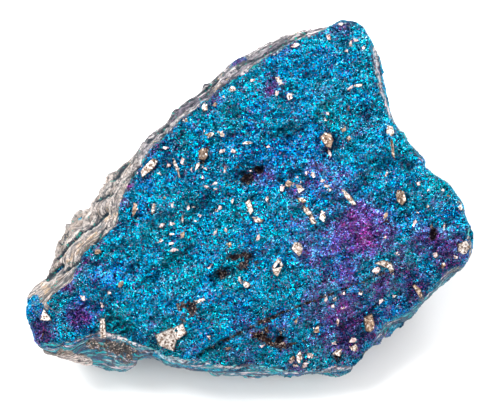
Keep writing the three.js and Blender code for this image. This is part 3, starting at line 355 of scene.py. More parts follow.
# The biggest crystals, by their own outlines: how pale, and the corners in u and v.
OUTLINED_CRYSTALS = (
   
    (0.50, ((-15.0, -21.5), (-12.6, -20.4), (-11.9, -22.3), (-12.3, -23.8), (-13.0, -24.0),
            (-14.3, -23.0))),
    (0.60, ((-12.7, -20.5), (-10.8, -19.6), (-10.2, -21.0), (-11.5, -22.0), (-12.3, -22.3))),
    (1.00, ((6.6, -6.0), (7.8, -5.6), (8.6, -6.2), (8.8, -7.6), (8.5, -8.9), (7.8, -9.6), (6.4, -7.6))),
    (0.85, ((14.3, 2.1), (15.1, 1.8), (16.2, 0.7), (16.9, -0.4), (16.3, -0.5), (15.1, 0.9))),
    (0.70, ((-18.1, 4.6), (-17.2, 4.0), (-15.6, 5.2), (-14.9, 6.3), (-15.6, 6.8), (-17.0, 5.9))),
    (0.75, ((-34.0, -19.3), (-33.0, -17.2), (-32.3, -18.2), (-31.8, -19.0))),
    (0.42, ((33.4, -6.9), (34.7, -6.3), (35.2, -7.3), (34.9, -8.7), (34.0, -9.0), (33.4, -8.0))),
    (0.30, ((18.4, -18.8), (19.6, -18.2), (20.7, -19.2), (20.5, -21.2), (19.3, -21.7), (18.4, -21.0))),
    (0.15, ((23.7, 1.8), (24.6, 1.5), (24.9, 0.2), (24.3, -0.5), (23.6, 0.1), (23.4, 1.1))),
    (0.12, ((-8.2, 8.0), (-7.6, 8.5), (-6.9, 8.4), (-6.8, 7.4), (-7.3, 6.7), (-8.1, 6.9))),
    (0.28, ((11.2, 10.2), (11.9, 11.0), (12.9, 10.8), (13.3, 9.8), (12.9, 8.6), (12.2, 8.8))),
    (0.50, ((20.0, -9.9), (21.4, -9.4), (22.6, -9.9), (23.0, -11.0), (22.2, -10.5), (21.0, -10.2))),
    (0.90, ((21.8, 12.4), (22.9, 12.1), (23.0, 11.0), (22.4, 10.2), (21.8, 11.0))),
    (0.85, ((3.2, -10.7), (3.7, -10.9), (4.7, -9.6), (4.4, -9.1))),
    (0.80, ((4.4, -9.1), (4.8, -9.3), (5.3, -10.2), (5.0, -10.5))),
    (0.75, ((3.2, -10.7), (3.8, -11.5), (4.4, -11.9), (5.3, -10.4), (4.9, -10.5), (3.7, -10.8))),
    (0.90, ((-24.0, -18.9), (-23.3, -18.9), (-23.1, -21.6), (-23.9, -21.8))),
)

# How much wider the crystals grow than their rows say, and how far the biggest stand up.
CRYSTAL_SPREAD = 1.12
BIG_CRYSTAL_LIFT = 0.10

# The way that the lumps and folds of the face are drawn out.
GRAIN_TURN = math.radians(28.0)

# The masks of the tarnish. Each has its patches and the slow changes all over the stone that
# are added to them: their size in mm, their place in the noise and their strength.
TARNISH_MASKS = (
    ("violet", VIOLET_PATCHES, (7.0, 11.0, 0.40)), ("magenta", MAGENTA_PATCHES, (4.0, 67.0, 0.25)),
    ("cyan", CYAN_PATCHES, None), ("dim", DULL_AND_SHADE_PATCHES, (5.0, 51.0, 0.6)),
    ("azure", AZURE_PATCHES, (6.0, 23.0, 1.2)), ("sea", SEA_PATCHES, (4.0, 37.0, 0.8)),
)
# The slow changes of the host rock low on the sides and of the pale ledge, in the same way.
HOST_DRIFT = (7.0, 83.0, 0.9)
LEDGE_DRIFT = (2.5, 97.0, 0.45)

# Heights out of the face's plane, in mm, between which each kind of surface comes in. Below
# the lower one there is none of it.
RIM_DEPTH = (-2.3, -1.2)
EDGE_DEPTH = (-5.2, -3.0)
CALM_DEPTH = (-9.5, -5.5)
SIDE_DEPTH = (-9.0, -6.0)
LEDGE_DEPTH = (-11.0, -8.0)
GROOVE_DEPTH = (-11.0, -9.0)
LOW_DEPTH = (-15.0, -11.0)
PIT_DEPTH = (-16.0, -12.0)
# The same for the host rock low on the sides, which comes in as the side goes down.
HOST_DEPTH = (-3.5, -7.5)

# How a swell of the outline, in mm, is kept in a mask that goes from 0 to 1.
BULGE_ZERO = 0.5
BULGE_SCALE = 0.3

# The long plates and thin leaves of the host rock, in mm.
PLATE_SIZE = 1.25
LEAF_SIZE = 0.50


# ------------------------------------------------------------------ sizes and colours

def colour_property(name, description, default):
    """A colour that the user may change."""
    return bpy.props.FloatVectorProperty(
        name=name, description=description, subtype="COLOR", size=3, min=0.0, max=1.0,
        default=default)


def length_property(name, description, default):
    """A length in metres that the user may change."""
    return bpy.props.FloatProperty(
        name=name, description=description, unit="LENGTH", precision=5, min=0.0,
        default=default)


class StoneSizes(bpy.types.PropertyGroup):
    """Sizes of the stone's surface."""

    mesh_step: length_property("Mesh step", "Size of the stone's mesh", 0.345 * MM)
    granule: length_property("Granule", "Size of the tarnished granules", 0.185 * MM)
    lump: length_property("Lump", "Size of the lumps on the face", 1.3 * MM)
    shard: length_property("Shard", "Size of a loose-standing grain", 0.185 * MM)
    relief: bpy.props.FloatProperty(
        name="Relief", description="Strength of the fine relief", min=0.0, max=3.0, default=1.0)
    grain_density: bpy.props.FloatProperty(
        name="Grain density", description="Grains per square millimetre on the face",
        min=0.0, max=40.0, default=24.0)


class StoneColours(bpy.types.PropertyGroup):
    """Colours of the stone."""

    navy: colour_property("Navy", "Darkest tarnish", (0.004, 0.006, 0.050))
    teal: colour_property("Teal", "Commonest tarnish", (0.0, 0.28, 0.49))
    azure: colour_property("Azure", "Blue tarnish", (0.0, 0.18, 0.66))
    sea: colour_property("Sea green", "Green tarnish", (0.0, 0.28, 0.32))
    cyan: colour_property("Cyan", "Light tarnish", (0.0, 0.64, 0.81))
    sparkle: colour_property("Sparkle", "Lightest grains", (0.44, 0.83, 0.97))
    violet: colour_property("Violet", "Violet tarnish", (0.17, 0.07, 0.46))
    magenta: colour_property("Magenta", "Magenta tarnish", (0.42, 0.015, 0.28))
    brown: colour_property("Brown", "Bottoms of the pits", (0.030, 0.014, 0.010))
    blush: colour_property("Blush", "Small pinkish crystals", (0.84, 0.70, 0.70))
    cream: colour_property("Cream", "Palest crystals", (0.86, 0.77, 0.71))
    brass: colour_property("Brass", "Brassy crystals", (0.42, 0.29, 0.20))
    host_light: colour_property("Host rock, light", "Light host rock", (0.37, 0.34, 0.325))
    host_ash: colour_property("Host rock, ashen", "Grey host rock", (0.195, 0.17, 0.18))
    host_tan: colour_property("Host rock, tan", "Tan host rock", (0.29, 0.225, 0.165))
    host_dark: colour_property("Host rock, dark", "Dark host rock", (0.070, 0.052, 0.060))


class StageSizes(bpy.types.PropertyGroup):
    """The floor, lights and camera."""

    lens: bpy.props.FloatProperty(
        name="Lens", description="Focal length", subtype="DISTANCE_CAMERA", default=240.0)
    view_width: length_property("View width", "Width of the view at the face", 80.0 * MM)
    floor_size: length_property("Floor size", "Side of the floor", 6.0)
    floor_colour: colour_property("Floor", "Colour of the floor", (0.93, 0.93, 0.93))


# ------------------------------------------------------------------ the face's own frame

def face_coordinates(points):
    """u, v and n in millimetres for an array of points in metres."""
    x, y, z = (points / MM).T
    y = y + STONE_MIDDLE[1]
    z = z - FACE_HEIGHT
    return (
        x + STONE_MIDDLE[0],
        y * math.cos(FACE_TILT) + z * math.sin(FACE_TILT),
        -y * math.sin(FACE_TILT) + z * math.cos(FACE_TILT),
    )


def face_point(u, v, n):
    """The point in metres at (u, v, n) in millimetres."""
    return Vector((
        u - STONE_MIDDLE[0],
        v * math.cos(FACE_TILT) - n * math.sin(FACE_TILT) - STONE_MIDDLE[1],
        FACE_HEIGHT + v * math.sin(FACE_TILT) + n * math.cos(FACE_TILT),
    )) * MM


FACE_NORMAL = Vector((0.0, -math.sin(FACE_TILT), math.cos(FACE_TILT)))


def smooth_step(value, low, high):
    """0 below low, 1 above high and a smooth rise between."""
    t = np.clip((value - low) / (high - low), 0.0, 1.0)
    return t * t * (3.0 - 2.0 * t)


def turned_by(turn, along, across):
    """A step along and across a bearing in degrees, as a step in u and v."""
    slant = math.radians(turn)
    return (
        along * math.cos(slant) - across * math.sin(slant),
        along * math.sin(slant) + across * math.cos(slant),
    )


def line_distance(u, v, a, b):
    """Distance in the face from (u, v) to the line from a to b."""
    along = np.array(b) - np.array(a)
    share = ((u - a[0]) * along[0] + (v - a[1]) * along[1]) / along.dot(along)
    share = np.clip(share, 0.0, 1.0)
    return np.hypot(u - a[0] - along[0] * share, v - a[1] - along[1] * share)


def near_lines(u, v, lines):
    """How near (u, v) is to the nearest of some lines, from 0 to each line's strength."""
    total = np.zeros_like(u)
    for a, b, width, strength in lines:
        reach = line_distance(u, v, a, b) / width
        total = np.maximum(total, strength * np.exp(-reach ** 2))
    return total


def near_spots(u, v, spots):
    """How near (u, v) is to the middle of the nearest spot, from 0 to each spot's strength."""
    total = np.zeros_like(u)
    for spot_u, spot_v, radius, strength in spots:
        reach = np.hypot(u - spot_u, v - spot_v) / radius
        total = np.maximum(total, strength * np.exp(-reach ** 2))
    return total


def from_centre(u, v):
    """Bearings in degrees, and distances, of points from the centre of the face."""
    du, dv = u - CENTRE[0], v - CENTRE[1]
    return np.degrees(np.arctan2(dv, du)), np.hypot(du, dv)


def outside_edge(u, v, edge):
    """How far outside an edge line a point lies along its own bearing, and if it is abreast."""
    edge_bearing, edge_reach = from_centre(*np.array(edge).T)
    edge_bearing = np.unwrap(edge_bearing, period=360.0)
    first, last = edge_bearing[0], edge_bearing[-1]
    bearing, distance = from_centre(u, v)
    bearing = (bearing - first + 180.0) % 360.0 + first - 180.0
    abreast = (bearing >= first) & (bearing <= last)
    return distance - np.interp(bearing, edge_bearing, edge_reach), abreast


def rim_flow(u, v, n):
    """Where a point lies on the rim: round it, and down its layers, in millimetres.

    The layers run along the rim. They lie parallel to the face and are drawn out over the bevels.
    """
    edge = np.array(HOST_EDGE + LEDGE + UNDERCUT + RIGHT_EDGE)
    edge_bearing, edge_reach = from_centre(*edge.T)
    bearing, distance = from_centre(u, v)
    reach = np.interp(bearing, edge_bearing, edge_reach, period=360.0)
    depth = BEVEL_DRAW * (distance - reach) - n
    turn = np.radians(bearing)
    return np.stack((RIM_RADIUS * np.cos(turn), RIM_RADIUS * np.sin(turn), depth), axis=1)


def near_crystals(u, v):
    """How far (u, v) is inside a crystal on the face, from 0 to 1."""
    ovals = [
        (middle_u, middle_v, CRYSTAL_SPREAD * length, CRYSTAL_SPREAD * width, turn)
        for middle_u, middle_v, length, width, turn, _ in CRYSTALS]
    for _, corners in OUTLINED_CRYSTALS:
        corners = np.array(corners)
        middle = corners.mean(axis=0)
        across = 2.0 * np.hypot(*(corners - middle).T).mean()
        ovals.append((middle[0], middle[1], across, across, 0.0))
    total = np.zeros_like(u)
    for middle_u, middle_v, length, width, turn in ovals:
        du, dv = turned_by(-turn, u - middle_u, v - middle_v)
        inside = (du / (0.5 * length)) ** 2 + (dv / (0.5 * width)) ** 2
        total = np.maximum(total, smooth_step(inside, 1.7, 1.0))
    return total


def drift(points, size, shift, strength):
    """A slowly changing value from -0.5 to 0.5 times the strength, at each point."""
    places = points / (size * MM) + shift
    return strength * np.array([noise.fractal(place, 1.0, 2.0, 3) for place in places.tolist()])


def bulges(u, v):
    """How far the outline swells at each point, in millimetres."""
    total = np.zeros_like(u)
    for a, b, width, height in BULGES:
        swell = height * np.exp(-(line_distance(u, v, a, b) / width) ** 2)
        total = np.where(np.abs(swell) > np.abs(total), swell, total)
    return total


# ------------------------------------------------------------------ node building

class Nodes:
    """Adds nodes to one node tree."""

    def __init__(self, tree):
        self.tree = tree

    def feed(self, socket, value):
        """Links a socket to another one, or sets its value."""
        if isinstance(value, bpy.types.NodeSocket):
            self.tree.links.new(value, socket)
        else:
            socket.default_value = value

    def add(self, kind, inputs=None, **settings):
        """A node with its settings and its inputs, by number or name."""
        node = self.tree.nodes.new(kind)
        for name, value in settings.items():
            setattr(node, name, value)
        for key, value in (inputs or {}).items():
            self.feed(node.inputs[key], value)
        return node

    def math(self, operation, a, b=0.0, c=0.0, clamp=False):
        inputs = {0: a, 1: b, 2: c}
        return self.add("ShaderNodeMath", inputs, operation=operation, use_clamp=clamp).outputs[0]

    def plus(self, a, b):
        return self.math("ADD", a, b)

    def minus(self, a, b):
        return self.math("SUBTRACT", a, b)

    def times(self, a, b):
        return self.math("MULTIPLY", a, b)

    def stack(self, base, *layers):
        """The base with each layer, a value and its weight, laid on it."""
        for value, weight in layers:
            base = self.math("MULTIPLY_ADD", value, weight, base)
        return base

    def vector(self, operation, a, b=None, scale=None):
        inputs = {0: a}
        if b is not None:
            inputs[1] = b
        if scale is not None:
            inputs["Scale"] = scale
        node = self.add("ShaderNodeVectorMath", inputs, operation=operation)
        return node.outputs["Value" if operation == "DOT_PRODUCT" else 0]

    def step(self, value, low, high, to_low=0.0, to_high=1.0):
        """A smooth rise from to_low to to_high as the value goes from low to high."""
        inputs = {"Value": value, "From Min": low, "From Max": high,
                  "To Min": to_low, "To Max": to_high}
        return self.add("ShaderNodeMapRange", inputs, interpolation_type="SMOOTHSTEP").outputs[0]

    def blend(self, share, a, b, way="MIX"):
        """Colour a turned into colour b by a share."""
        node = self.add("ShaderNodeMix", {0: share, 6: a, 7: b}, data_type="RGBA", blend_type=way)
        return node.outputs[2]

    def tints(self, base, *rows):
        """The base with colours laid over it in turn: (colour, share) or (colour, share, strength)."""
        for colour, share, *strength in rows:
            if strength:
                share = self.times(share, strength[0])
            base = self.blend(share, base, colour)
        return base

    def mix(self, share, a, b):
        return self.add("ShaderNodeMix", {0: share, 2: a, 3: b}, data_type="FLOAT").outputs[0]

    def noise(self, place, size, detail=2.0, roughness=0.55, warp=0.0):
        inputs = {"Vector": place, "Scale": 1.0 / size, "Detail": detail,
                  "Roughness": roughness, "Distortion": warp}
        return self.add("ShaderNodeTexNoise", inputs).outputs[0]

    def crease(self, place, size, warp):
        """A value that falls to 0 along winding creases."""
        return self.math("ABSOLUTE", self.minus(self.noise(place, size, 2.0, 0.5, warp), 0.5))

    def cells(self, place, size, feature="F1"):
        inputs = {"Vector": place, "Scale": 1.0 / size}
        return self.add("ShaderNodeTexVoronoi", inputs, feature=feature)

    def turned(self, place, axis, angle):
        """A place turned round an axis through the start of its frame."""
        inputs = {"Vector": place, "Center": (0.0, 0.0, 0.0), "Axis": axis, "Angle": angle}
        return self.add("ShaderNodeVectorRotate", inputs, rotation_type="AXIS_ANGLE").outputs[0]

    def attribute(self, name):
        """A mask of the mesh, in a material."""
        return self.add("ShaderNodeAttribute", attribute_name=name).outputs["Fac"]

    def mesh_layer(self, name, kind="FLOAT"):
        """A mask or another layer of the mesh, in geometry nodes."""
        inputs = {"Name": name}
        return self.add("GeometryNodeInputNamedAttribute", inputs, data_type=kind).outputs[0]


def rgba(colour):
    """A colour as a colour socket takes it."""
    return (*colour, 1.0)


def new_group(name, kind, sockets_in, sockets_out):
    """A node group with its sockets. Each socket is (name, type, default)."""
    tree = bpy.data.node_groups.new(name, kind)
    for in_out, sockets in (("INPUT", sockets_in), ("OUTPUT", sockets_out)):
        for socket_name, socket_type, default in sockets:
            socket = tree.interface.new_socket(
                name=socket_name, in_out=in_out, socket_type=socket_type)
            if default is not None:
                socket.default_value = default
    nodes = Nodes(tree)
    start = nodes.add("NodeGroupInput")
    end = nodes.add("NodeGroupOutput")
    return tree, nodes, start.outputs, end.inputs


def facet_height(nodes, place, cell):
    """The height of flat facets, each tipped its own way, one to a cell."""
    inside = nodes.vector("SUBTRACT", place, cell.outputs["Position"])
    tip = nodes.vector("SUBTRACT", cell.outputs["Color"], (0.5, 0.5, 0.5))
    return nodes.vector("DOT_PRODUCT", inside, tip)


def facets(nodes, place, size):
    """The height of flat facets of a given size."""
    return facet_height(nodes, place, nodes.cells(place, size))


def granule_group():
    """Shader group: granules `Size` across, as a height in their own size and random numbers."""
    tree, nodes, start, end = new_group(
        "Granules", "ShaderNodeTree",
        [("Place", "NodeSocketVector", None), ("Size", "NodeSocketFloat", 0.3)],
        [(name, "NodeSocketFloat", None) for name in ("Height", "Shade", "Kind", "Gloss")])
    scale = nodes.math("DIVIDE", 1.0, start["Size"])
    cell = nodes.add("ShaderNodeTexVoronoi", {"Vector": start["Place"], "Scale": scale})
    split = nodes.add("ShaderNodeSeparateColor", {0: cell.outputs["Color"]})
    nodes.feed(end["Height"], facet_height(nodes, start["Place"], cell))
    for name, chance in zip(("Shade", "Kind", "Gloss"), split.outputs):
        nodes.feed(end[name], chance)
    return tree


def bedding_group():
    """Shader group: streaks along the layers, which run round the rim."""
    tree, nodes, start, end = new_group(
        "Bedding", "ShaderNodeTree",
        [("Flow", "NodeSocketVector", None), ("Layer", "NodeSocketFloat", 0.8)],
        [(name, "NodeSocketFloat", None) for name in ("Streak", "Fine", "Block")])
    squeezed = nodes.vector("MULTIPLY", start["Flow"], (0.16, 0.16, 1.0))
    scaled = nodes.vector("SCALE", squeezed, scale=nodes.math("DIVIDE", 1.0, start["Layer"]))
    nodes.feed(end["Streak"], nodes.noise(scaled, 1.0, 3.0, 0.6, 0.5))
    nodes.feed(end["Fine"], nodes.noise(scaled, 0.38, 3.0, 0.65, 0.15))
    nodes.feed(end["Block"], nodes.noise(scaled, 3.2, 2.0, 0.5, 0.6))
    return tree


def rock_plates(nodes, flow, size):
    """Long plates along the rock's layers: each one's shade, and how near its edge is."""
    bend = nodes.add("ShaderNodeTexNoise", {"Vector": flow, "Scale": 0.4 / size, "Detail": 3.0})
    bend = nodes.vector("SUBTRACT", bend.outputs["Color"], (0.5, 0.5, 0.5))
    bend = nodes.vector("MULTIPLY", bend, (1.6 * size, 1.6 * size, 0.35 * size))
    squeezed = nodes.vector("MULTIPLY", nodes.vector("ADD", flow, bend), (0.26, 0.26, 1.0))
    shade = nodes.cells(squeezed, size).outputs["Color"]
    edge = nodes.cells(squeezed, size, "DISTANCE_TO_EDGE").outputs["Distance"]
    return nodes.vector("DOT_PRODUCT", shade, (1.0, 0.0, 0.0)), edge


def group_node(nodes, tree, inputs):
    """The outputs of a node group placed with its own inputs."""
    node = nodes.add("ShaderNodeGroup", node_tree=tree)
    for key, value in inputs.items():
        nodes.feed(node.inputs[key], value)
    return node.outputs


def new_material(name):
    """An empty material with its output, and its place on the stone in millimetres."""
    material = bpy.data.materials.new(name)
    material.use_nodes = True
    tree = material.node_tree
    tree.nodes.clear()
    nodes = Nodes(tree)
    output = nodes.add("ShaderNodeOutputMaterial")
    shader = nodes.add("ShaderNodeBsdfPrincipled")
    tree.links.new(shader.outputs[0], output.inputs[0])
    where = nodes.add("ShaderNodeTexCoord")
    place = nodes.vector("SCALE", where.outputs["Object"], scale=1.0 / MM)
    return material, nodes, shader, place


def add_bump(nodes, shader, height, strength):
    """A bump from a height in millimetres."""
    bump = nodes.add("ShaderNodeBump", {"Height": height, "Distance": MM, "Strength": strength})
    nodes.feed(shader.inputs["Normal"], bump.outputs[0])


# ------------------------------------------------------------------ materials

# The tint of the metals at a glancing view, and the colours that only one layer of a finish has.
EDGE_TINT = (0.40, 0.90, 1.0, 1.0)
# Painted light on the violet tarnish.
VIOLET_PAINTED_LIGHT = (0.42, 0.13, 0.58, 1.0)
MAGENTA_FLECK = (0.42, 0.05, 0.30, 1.0)
PINK_FLECK = (0.55, 0.30, 0.40, 1.0)
# Painted shade laid into the hollows and folds.
HOLLOW_SHADE_BLUE = (0.0, 0.006, 0.020, 1.0)
ROCK_OCHRE = (0.46, 0.31, 0.17, 1.0)
ROCK_CREAM = (0.66, 0.56, 0.54, 1.0)
ROCK_STAIN = (0.21, 0.115, 0.055, 1.0)
ROCK_BLUSH = (0.30, 0.08, 0.16, 1.0)
ROCK_CREEP = (0.0, 0.20, 0.17, 1.0)
# Painted shade in the host rock's grooves.
GROOVE_SHADE_BLACK = (0.010, 0.006, 0.014, 1.0)
# What the host rock is multiplied by: where it is cool, dusky, far down the side and warm.
COOL_CAST = (0.95, 0.92, 0.95, 1.0)
DUSK_CAST = (0.34, 0.28, 0.37, 1.0)
DEEP_CAST = (0.74, 0.70, 0.76, 1.0)
WARM_CAST = (1.0, 0.94, 0.90, 1.0)
CRUST_BLUE = (0.0, 0.13, 0.22, 1.0)
CRUST_TEAL = (0.0, 0.40, 0.40, 1.0)
CRUST_ROSE = (0.72, 0.56, 0.61, 1.0)
CRUST_GREEN = (0.16, 0.55, 0.56, 1.0)
CRUST_BLACK = (0.025, 0.02, 0.05, 1.0)
CRUST_PLUM = (0.05, 0.015, 0.045, 1.0)
# The palest rims and edges: partly crust, partly painted highlight.
RIM_CREAM = (0.68, 0.56, 0.55, 1.0)
RIM_BLUE = (0.46, 0.58, 0.68, 1.0)
PIT_OCHRE = (0.13, 0.070, 0.048, 1.0)
PIT_UMBER = (0.06, 0.027, 0.022, 1.0)
PIT_GRIT = (0.50, 0.38, 0.32, 1.0)
# Painted highlight on the crystals.
CRYSTAL_GLINT = (0.90, 0.82, 0.76, 1.0)
CRYSTAL_SPECK = (0.10, 0.05, 0.03, 1.0)
# Painted shade down the crystals' sides.
CRYSTAL_WALL_SHADE = (0.045, 0.022, 0.018, 1.0)

# Lines and specks of the host rock: pattern, the values at which it starts and is full, its
# strength in cool and in warm rock, and its colour, which is the dark host rock's where none is given.
ROCK_LINES = (
    ("leaf", 0.70, 0.78, 0.75, 0.55, (0.56, 0.52, 0.50, 1.0)),
    ("leaf", 0.26, 0.18, 0.80, 0.25, None),
    ("leaf edge", 0.09, 0.03, 0.60, 0.30, None),
    ("plate edge", 0.12, 0.05, 0.90, 0.70, (0.035, 0.026, 0.034, 1.0)),
    ("speckle", 0.54, 0.60, 0.50, 0.75, (0.68, 0.62, 0.61, 1.0)),
    ("speckle", 0.44, 0.38, 0.65, 0.80, None),
    ("fine", 0.57, 0.62, 0.45, 0.20, (0.56, 0.52, 0.51, 1.0)),
    ("fine", 0.43, 0.39, 0.55, 0.25, None),
)


class StoneFinish:
    """The patterns that the layers of the stone's material share."""

    def __init__(self, nodes, place, grain, granules, bedding):
        self.nodes = nodes
        self.place = place
        jitter = nodes.add("ShaderNodeTexNoise", {"Vector": place, "Scale": 1.4 / grain})
        warp = nodes.vector("SCALE", jitter.outputs["Color"], scale=0.6 * grain)
        self.bent = nodes.vector("ADD", place, warp)
        self.small = group_node(nodes, granules, {"Place": self.bent, "Size": grain})
        self.large = group_node(nodes, granules, {"Place": place, "Size": 2.6 * grain})
        self.ragged = nodes.minus(nodes.noise(place, 1.6, 3.0), 0.5)
        self.crumb = nodes.minus(nodes.noise(place, 0.6, 3.0, 0.65), 0.5)
        self.mottle = nodes.noise(place, 0.45, 4.0, 0.7)
        self.flow = nodes.add("ShaderNodeAttribute", attribute_name="flow").outputs["Vector"]
        self.layers = group_node(nodes, bedding, {"Flow": self.flow, "Layer": 0.95})
        self.plate, self.plate_edge = rock_plates(nodes, self.flow, PLATE_SIZE)
        self.leaf, self.leaf_edge = rock_plates(nodes, self.flow, LEAF_SIZE)

    def mask(self, name, pattern, weight, low, high):
        """One of the stone's masks, its edge broken up by a pattern."""
        broken = self.nodes.stack(self.nodes.attribute(name), (pattern, weight))
        return self.nodes.step(broken, low, high)


def tarnish_colour(finish, colours):
    """Tarnish: every granule has its own shade of the colour round it, with painted light and shade on
    drawn-out crinkles and painted shade in fine creases.
    """
    nodes, small = finish.nodes, finish.small
    violet = finish.mask("violet", finish.ragged, 1.6, 0.18, 0.85)
    magenta = finish.mask("magenta", finish.ragged, 1.2, 0.3, 0.9)
    # This mask darkens the tarnish toward navy: partly duller tarnish, partly painted shade.
    dim = finish.mask("dim", finish.ragged, 0.9, 0.1, 1.0)
    navy = rgba(colours.navy)
    tarnish = nodes.tints(
        rgba(colours.teal),
        (rgba(colours.azure), nodes.step(nodes.attribute("azure"), -0.1, 0.6), 0.85),
        (rgba(colours.sea), nodes.step(nodes.attribute("sea"), 0.15, 0.9), 0.90),
        (rgba(colours.cyan), nodes.attribute("cyan"), 0.60),
        (rgba(colours.violet), violet, 0.80),
        (rgba(colours.magenta), magenta, 0.85),
        (navy, dim, 0.75),
        (navy, nodes.step(small["Shade"], 0.48, 0.20), 0.92))
    # Painted light and shade: a drawn-out ripple brightens and darkens the tarnish like lit and shaded
    # crinkles.
    ripple_light_and_shade = nodes.noise(nodes.vector("MULTIPLY", finish.bent, (0.7, 1.0, 1.0)), 0.9, 3.0, 0.6)
    tarnish = nodes.blend(1.0, tarnish, nodes.step(ripple_light_and_shade, 0.38, 0.60, 0.55, 1.38), "MULTIPLY")
    painted_light = nodes.times(nodes.mix(dim, 1.0, 0.35), nodes.step(ripple_light_and_shade, 0.36, 0.58, 0.35, 1.0))
    # Painted light: where the ripple is lit, some granules turn light cyan, or light violet in the
    # violet patches, and the lightest are painted as glints.
    light = nodes.times(nodes.step(small["Shade"], 0.62, 0.85), painted_light)
    painted_glint = nodes.times(nodes.step(small["Kind"], 0.89, 0.93), painted_light)
    fleck = nodes.step(nodes.stack(small["Gloss"], (violet, 0.12)), 0.95, 0.97)
    # Painted shade: thin navy lines along winding creases in the tarnish.
    crease = nodes.step(nodes.crease(finish.bent, 0.85, 0.6), 0.042, 0.012)
    return nodes.tints(
        tarnish,
        (rgba(colours.cyan), light, nodes.mix(violet, 0.90, 0.30)),
        (VIOLET_PAINTED_LIGHT, nodes.times(light, violet), 0.5),
        (rgba(colours.sparkle), painted_glint, 0.85),
        (MAGENTA_FLECK, fleck, 0.8),
        (PINK_FLECK, nodes.step(finish.large["Kind"], 0.965, 0.975), 0.20),
        (navy, crease, 0.55))


def rock_colour(finish, colours):
    """Host rock: long streaks along its layers, with tarnish creeping in."""
    nodes, place, flow, mottle = finish.nodes, finish.place, finish.flow, finish.mottle
    uneven = nodes.minus(mottle, 0.5)
    warm = nodes.plus(nodes.attribute("warm"), nodes.noise(place, 5.0, 2.0))
    warm = nodes.step(warm, 0.5, 1.1)
    depth = nodes.add("ShaderNodeSeparateXYZ", {0: flow}).outputs[2]
    deep = nodes.step(depth, 9.0, 15.0)
    blotch = nodes.noise(place, 2.4, 4.0, 0.62)
    stain = nodes.noise(nodes.vector("ADD", place, (40.0, 0.0, 0.0)), 3.6, 4.0, 0.6)
    light, dark = rgba(colours.host_light), rgba(colours.host_dark)
    rock = nodes.tints(
        rgba(colours.host_ash),
        (rgba(colours.host_tan), warm, 0.55),
        (light, nodes.step(finish.plate, 0.45, 0.60)),
        (ROCK_OCHRE, finish.mask("tan", uneven, 1.4, 0.35, 0.70), 0.85),
        (ROCK_CREAM, finish.mask("cream", uneven, 1.2, 0.35, 0.60), 0.9),
        (light, nodes.step(blotch, 0.50, 0.58), deep),
        (ROCK_STAIN, nodes.step(stain, 0.58, 0.66), 0.6))

    speckle = nodes.noise(nodes.vector("MULTIPLY", flow, (0.45, 0.45, 1.0)), 0.32, 3.0, 0.7)
    patterns = {
        "leaf": finish.leaf, "leaf edge": finish.leaf_edge, "plate edge": finish.plate_edge,
        "speckle": speckle, "fine": finish.layers["Fine"]}
    shown = nodes.mix(deep, 1.0, 0.35)
    for pattern, low, high, cool_strength, warm_strength, colour in ROCK_LINES:
        strength = nodes.mix(warm, cool_strength, warm_strength)
        line = nodes.times(nodes.step(patterns[pattern], low, high), strength)
        rock = nodes.tints(rock, (colour or dark, line, shown))

    tone = nodes.plus(nodes.step(finish.layers["Block"], 0.40, 0.60, 0.76, 1.10),
                      nodes.step(mottle, 0.35, 0.65, -0.26, 0.30))
    rock = nodes.blend(1.0, rock, tone, "MULTIPLY")
    cast = nodes.tints(
        COOL_CAST, (DUSK_CAST, finish.mask("dusk", mottle, 0.8, 0.60, 1.05)),
        (DEEP_CAST, deep), (WARM_CAST, warm))
    rock = nodes.blend(1.0, rock, cast, "MULTIPLY")
    # Painted shade: the host rock's grooves are painted nearly black.
    groove = finish.mask("groove", uneven, 1.6, 0.36, 0.48)
    creep = nodes.stack(nodes.noise(place, 0.55, 2.0), (groove, 0.05))
    blush = nodes.noise(nodes.vector("ADD", place, (0.0, 60.0, 0.0)), 0.5, 2.0)
    return nodes.tints(
        rock,
        (dark, nodes.step(mottle, 0.42, 0.36), 0.75),
        (GROOVE_SHADE_BLACK, groove, 0.95),
        (ROCK_CREEP, nodes.step(creep, 0.67, 0.70)),
        (ROCK_BLUSH, nodes.step(blush, 0.70, 0.74), 0.7))


def crust_colour(finish, pale):
    """Crusts on the ledges, and painted highlights on the rims and edges, from sea blue to nearly white
    where they are palest.
    """
    nodes, layers = finish.nodes, finish.layers
    # Partly painted highlight: the palest rims and edges turn cream and light blue.
    rim = nodes.blend(nodes.step(layers["Block"], 0.46, 0.54), RIM_CREAM, RIM_BLUE)
    return nodes.tints(
        CRUST_BLUE,
        (CRUST_TEAL, nodes.step(finish.leaf, 0.32, 0.44)),
        (CRUST_ROSE, nodes.step(nodes.stack(finish.leaf, (pale, 0.40)), 0.88, 0.96)),
        (CRUST_GREEN, nodes.step(layers["Fine"], 0.55, 0.60)),
        (CRUST_BLACK, nodes.step(layers["Streak"], 0.48, 0.43)),
        (CRUST_PLUM, nodes.step(finish.leaf_edge, 0.15, 0.06), 0.9),
        (rim, nodes.step(pale, 0.66, 0.88), nodes.step(finish.mottle, 0.43, 0.51)))


def pit_colour(finish, colours, pit):
    """The bottoms of the pits: brown to ochre granules, with some pale grit."""
    nodes, small = finish.nodes, finish.small
    ochre = nodes.blend(nodes.step(pit, 0.55, 0.95), PIT_OCHRE, PIT_UMBER)
    return nodes.tints(
        rgba(colours.brown),
        (ochre, nodes.step(small["Shade"], 0.25, 0.75)),
        (PIT_GRIT, nodes.step(small["Kind"], 0.84, 0.90)))


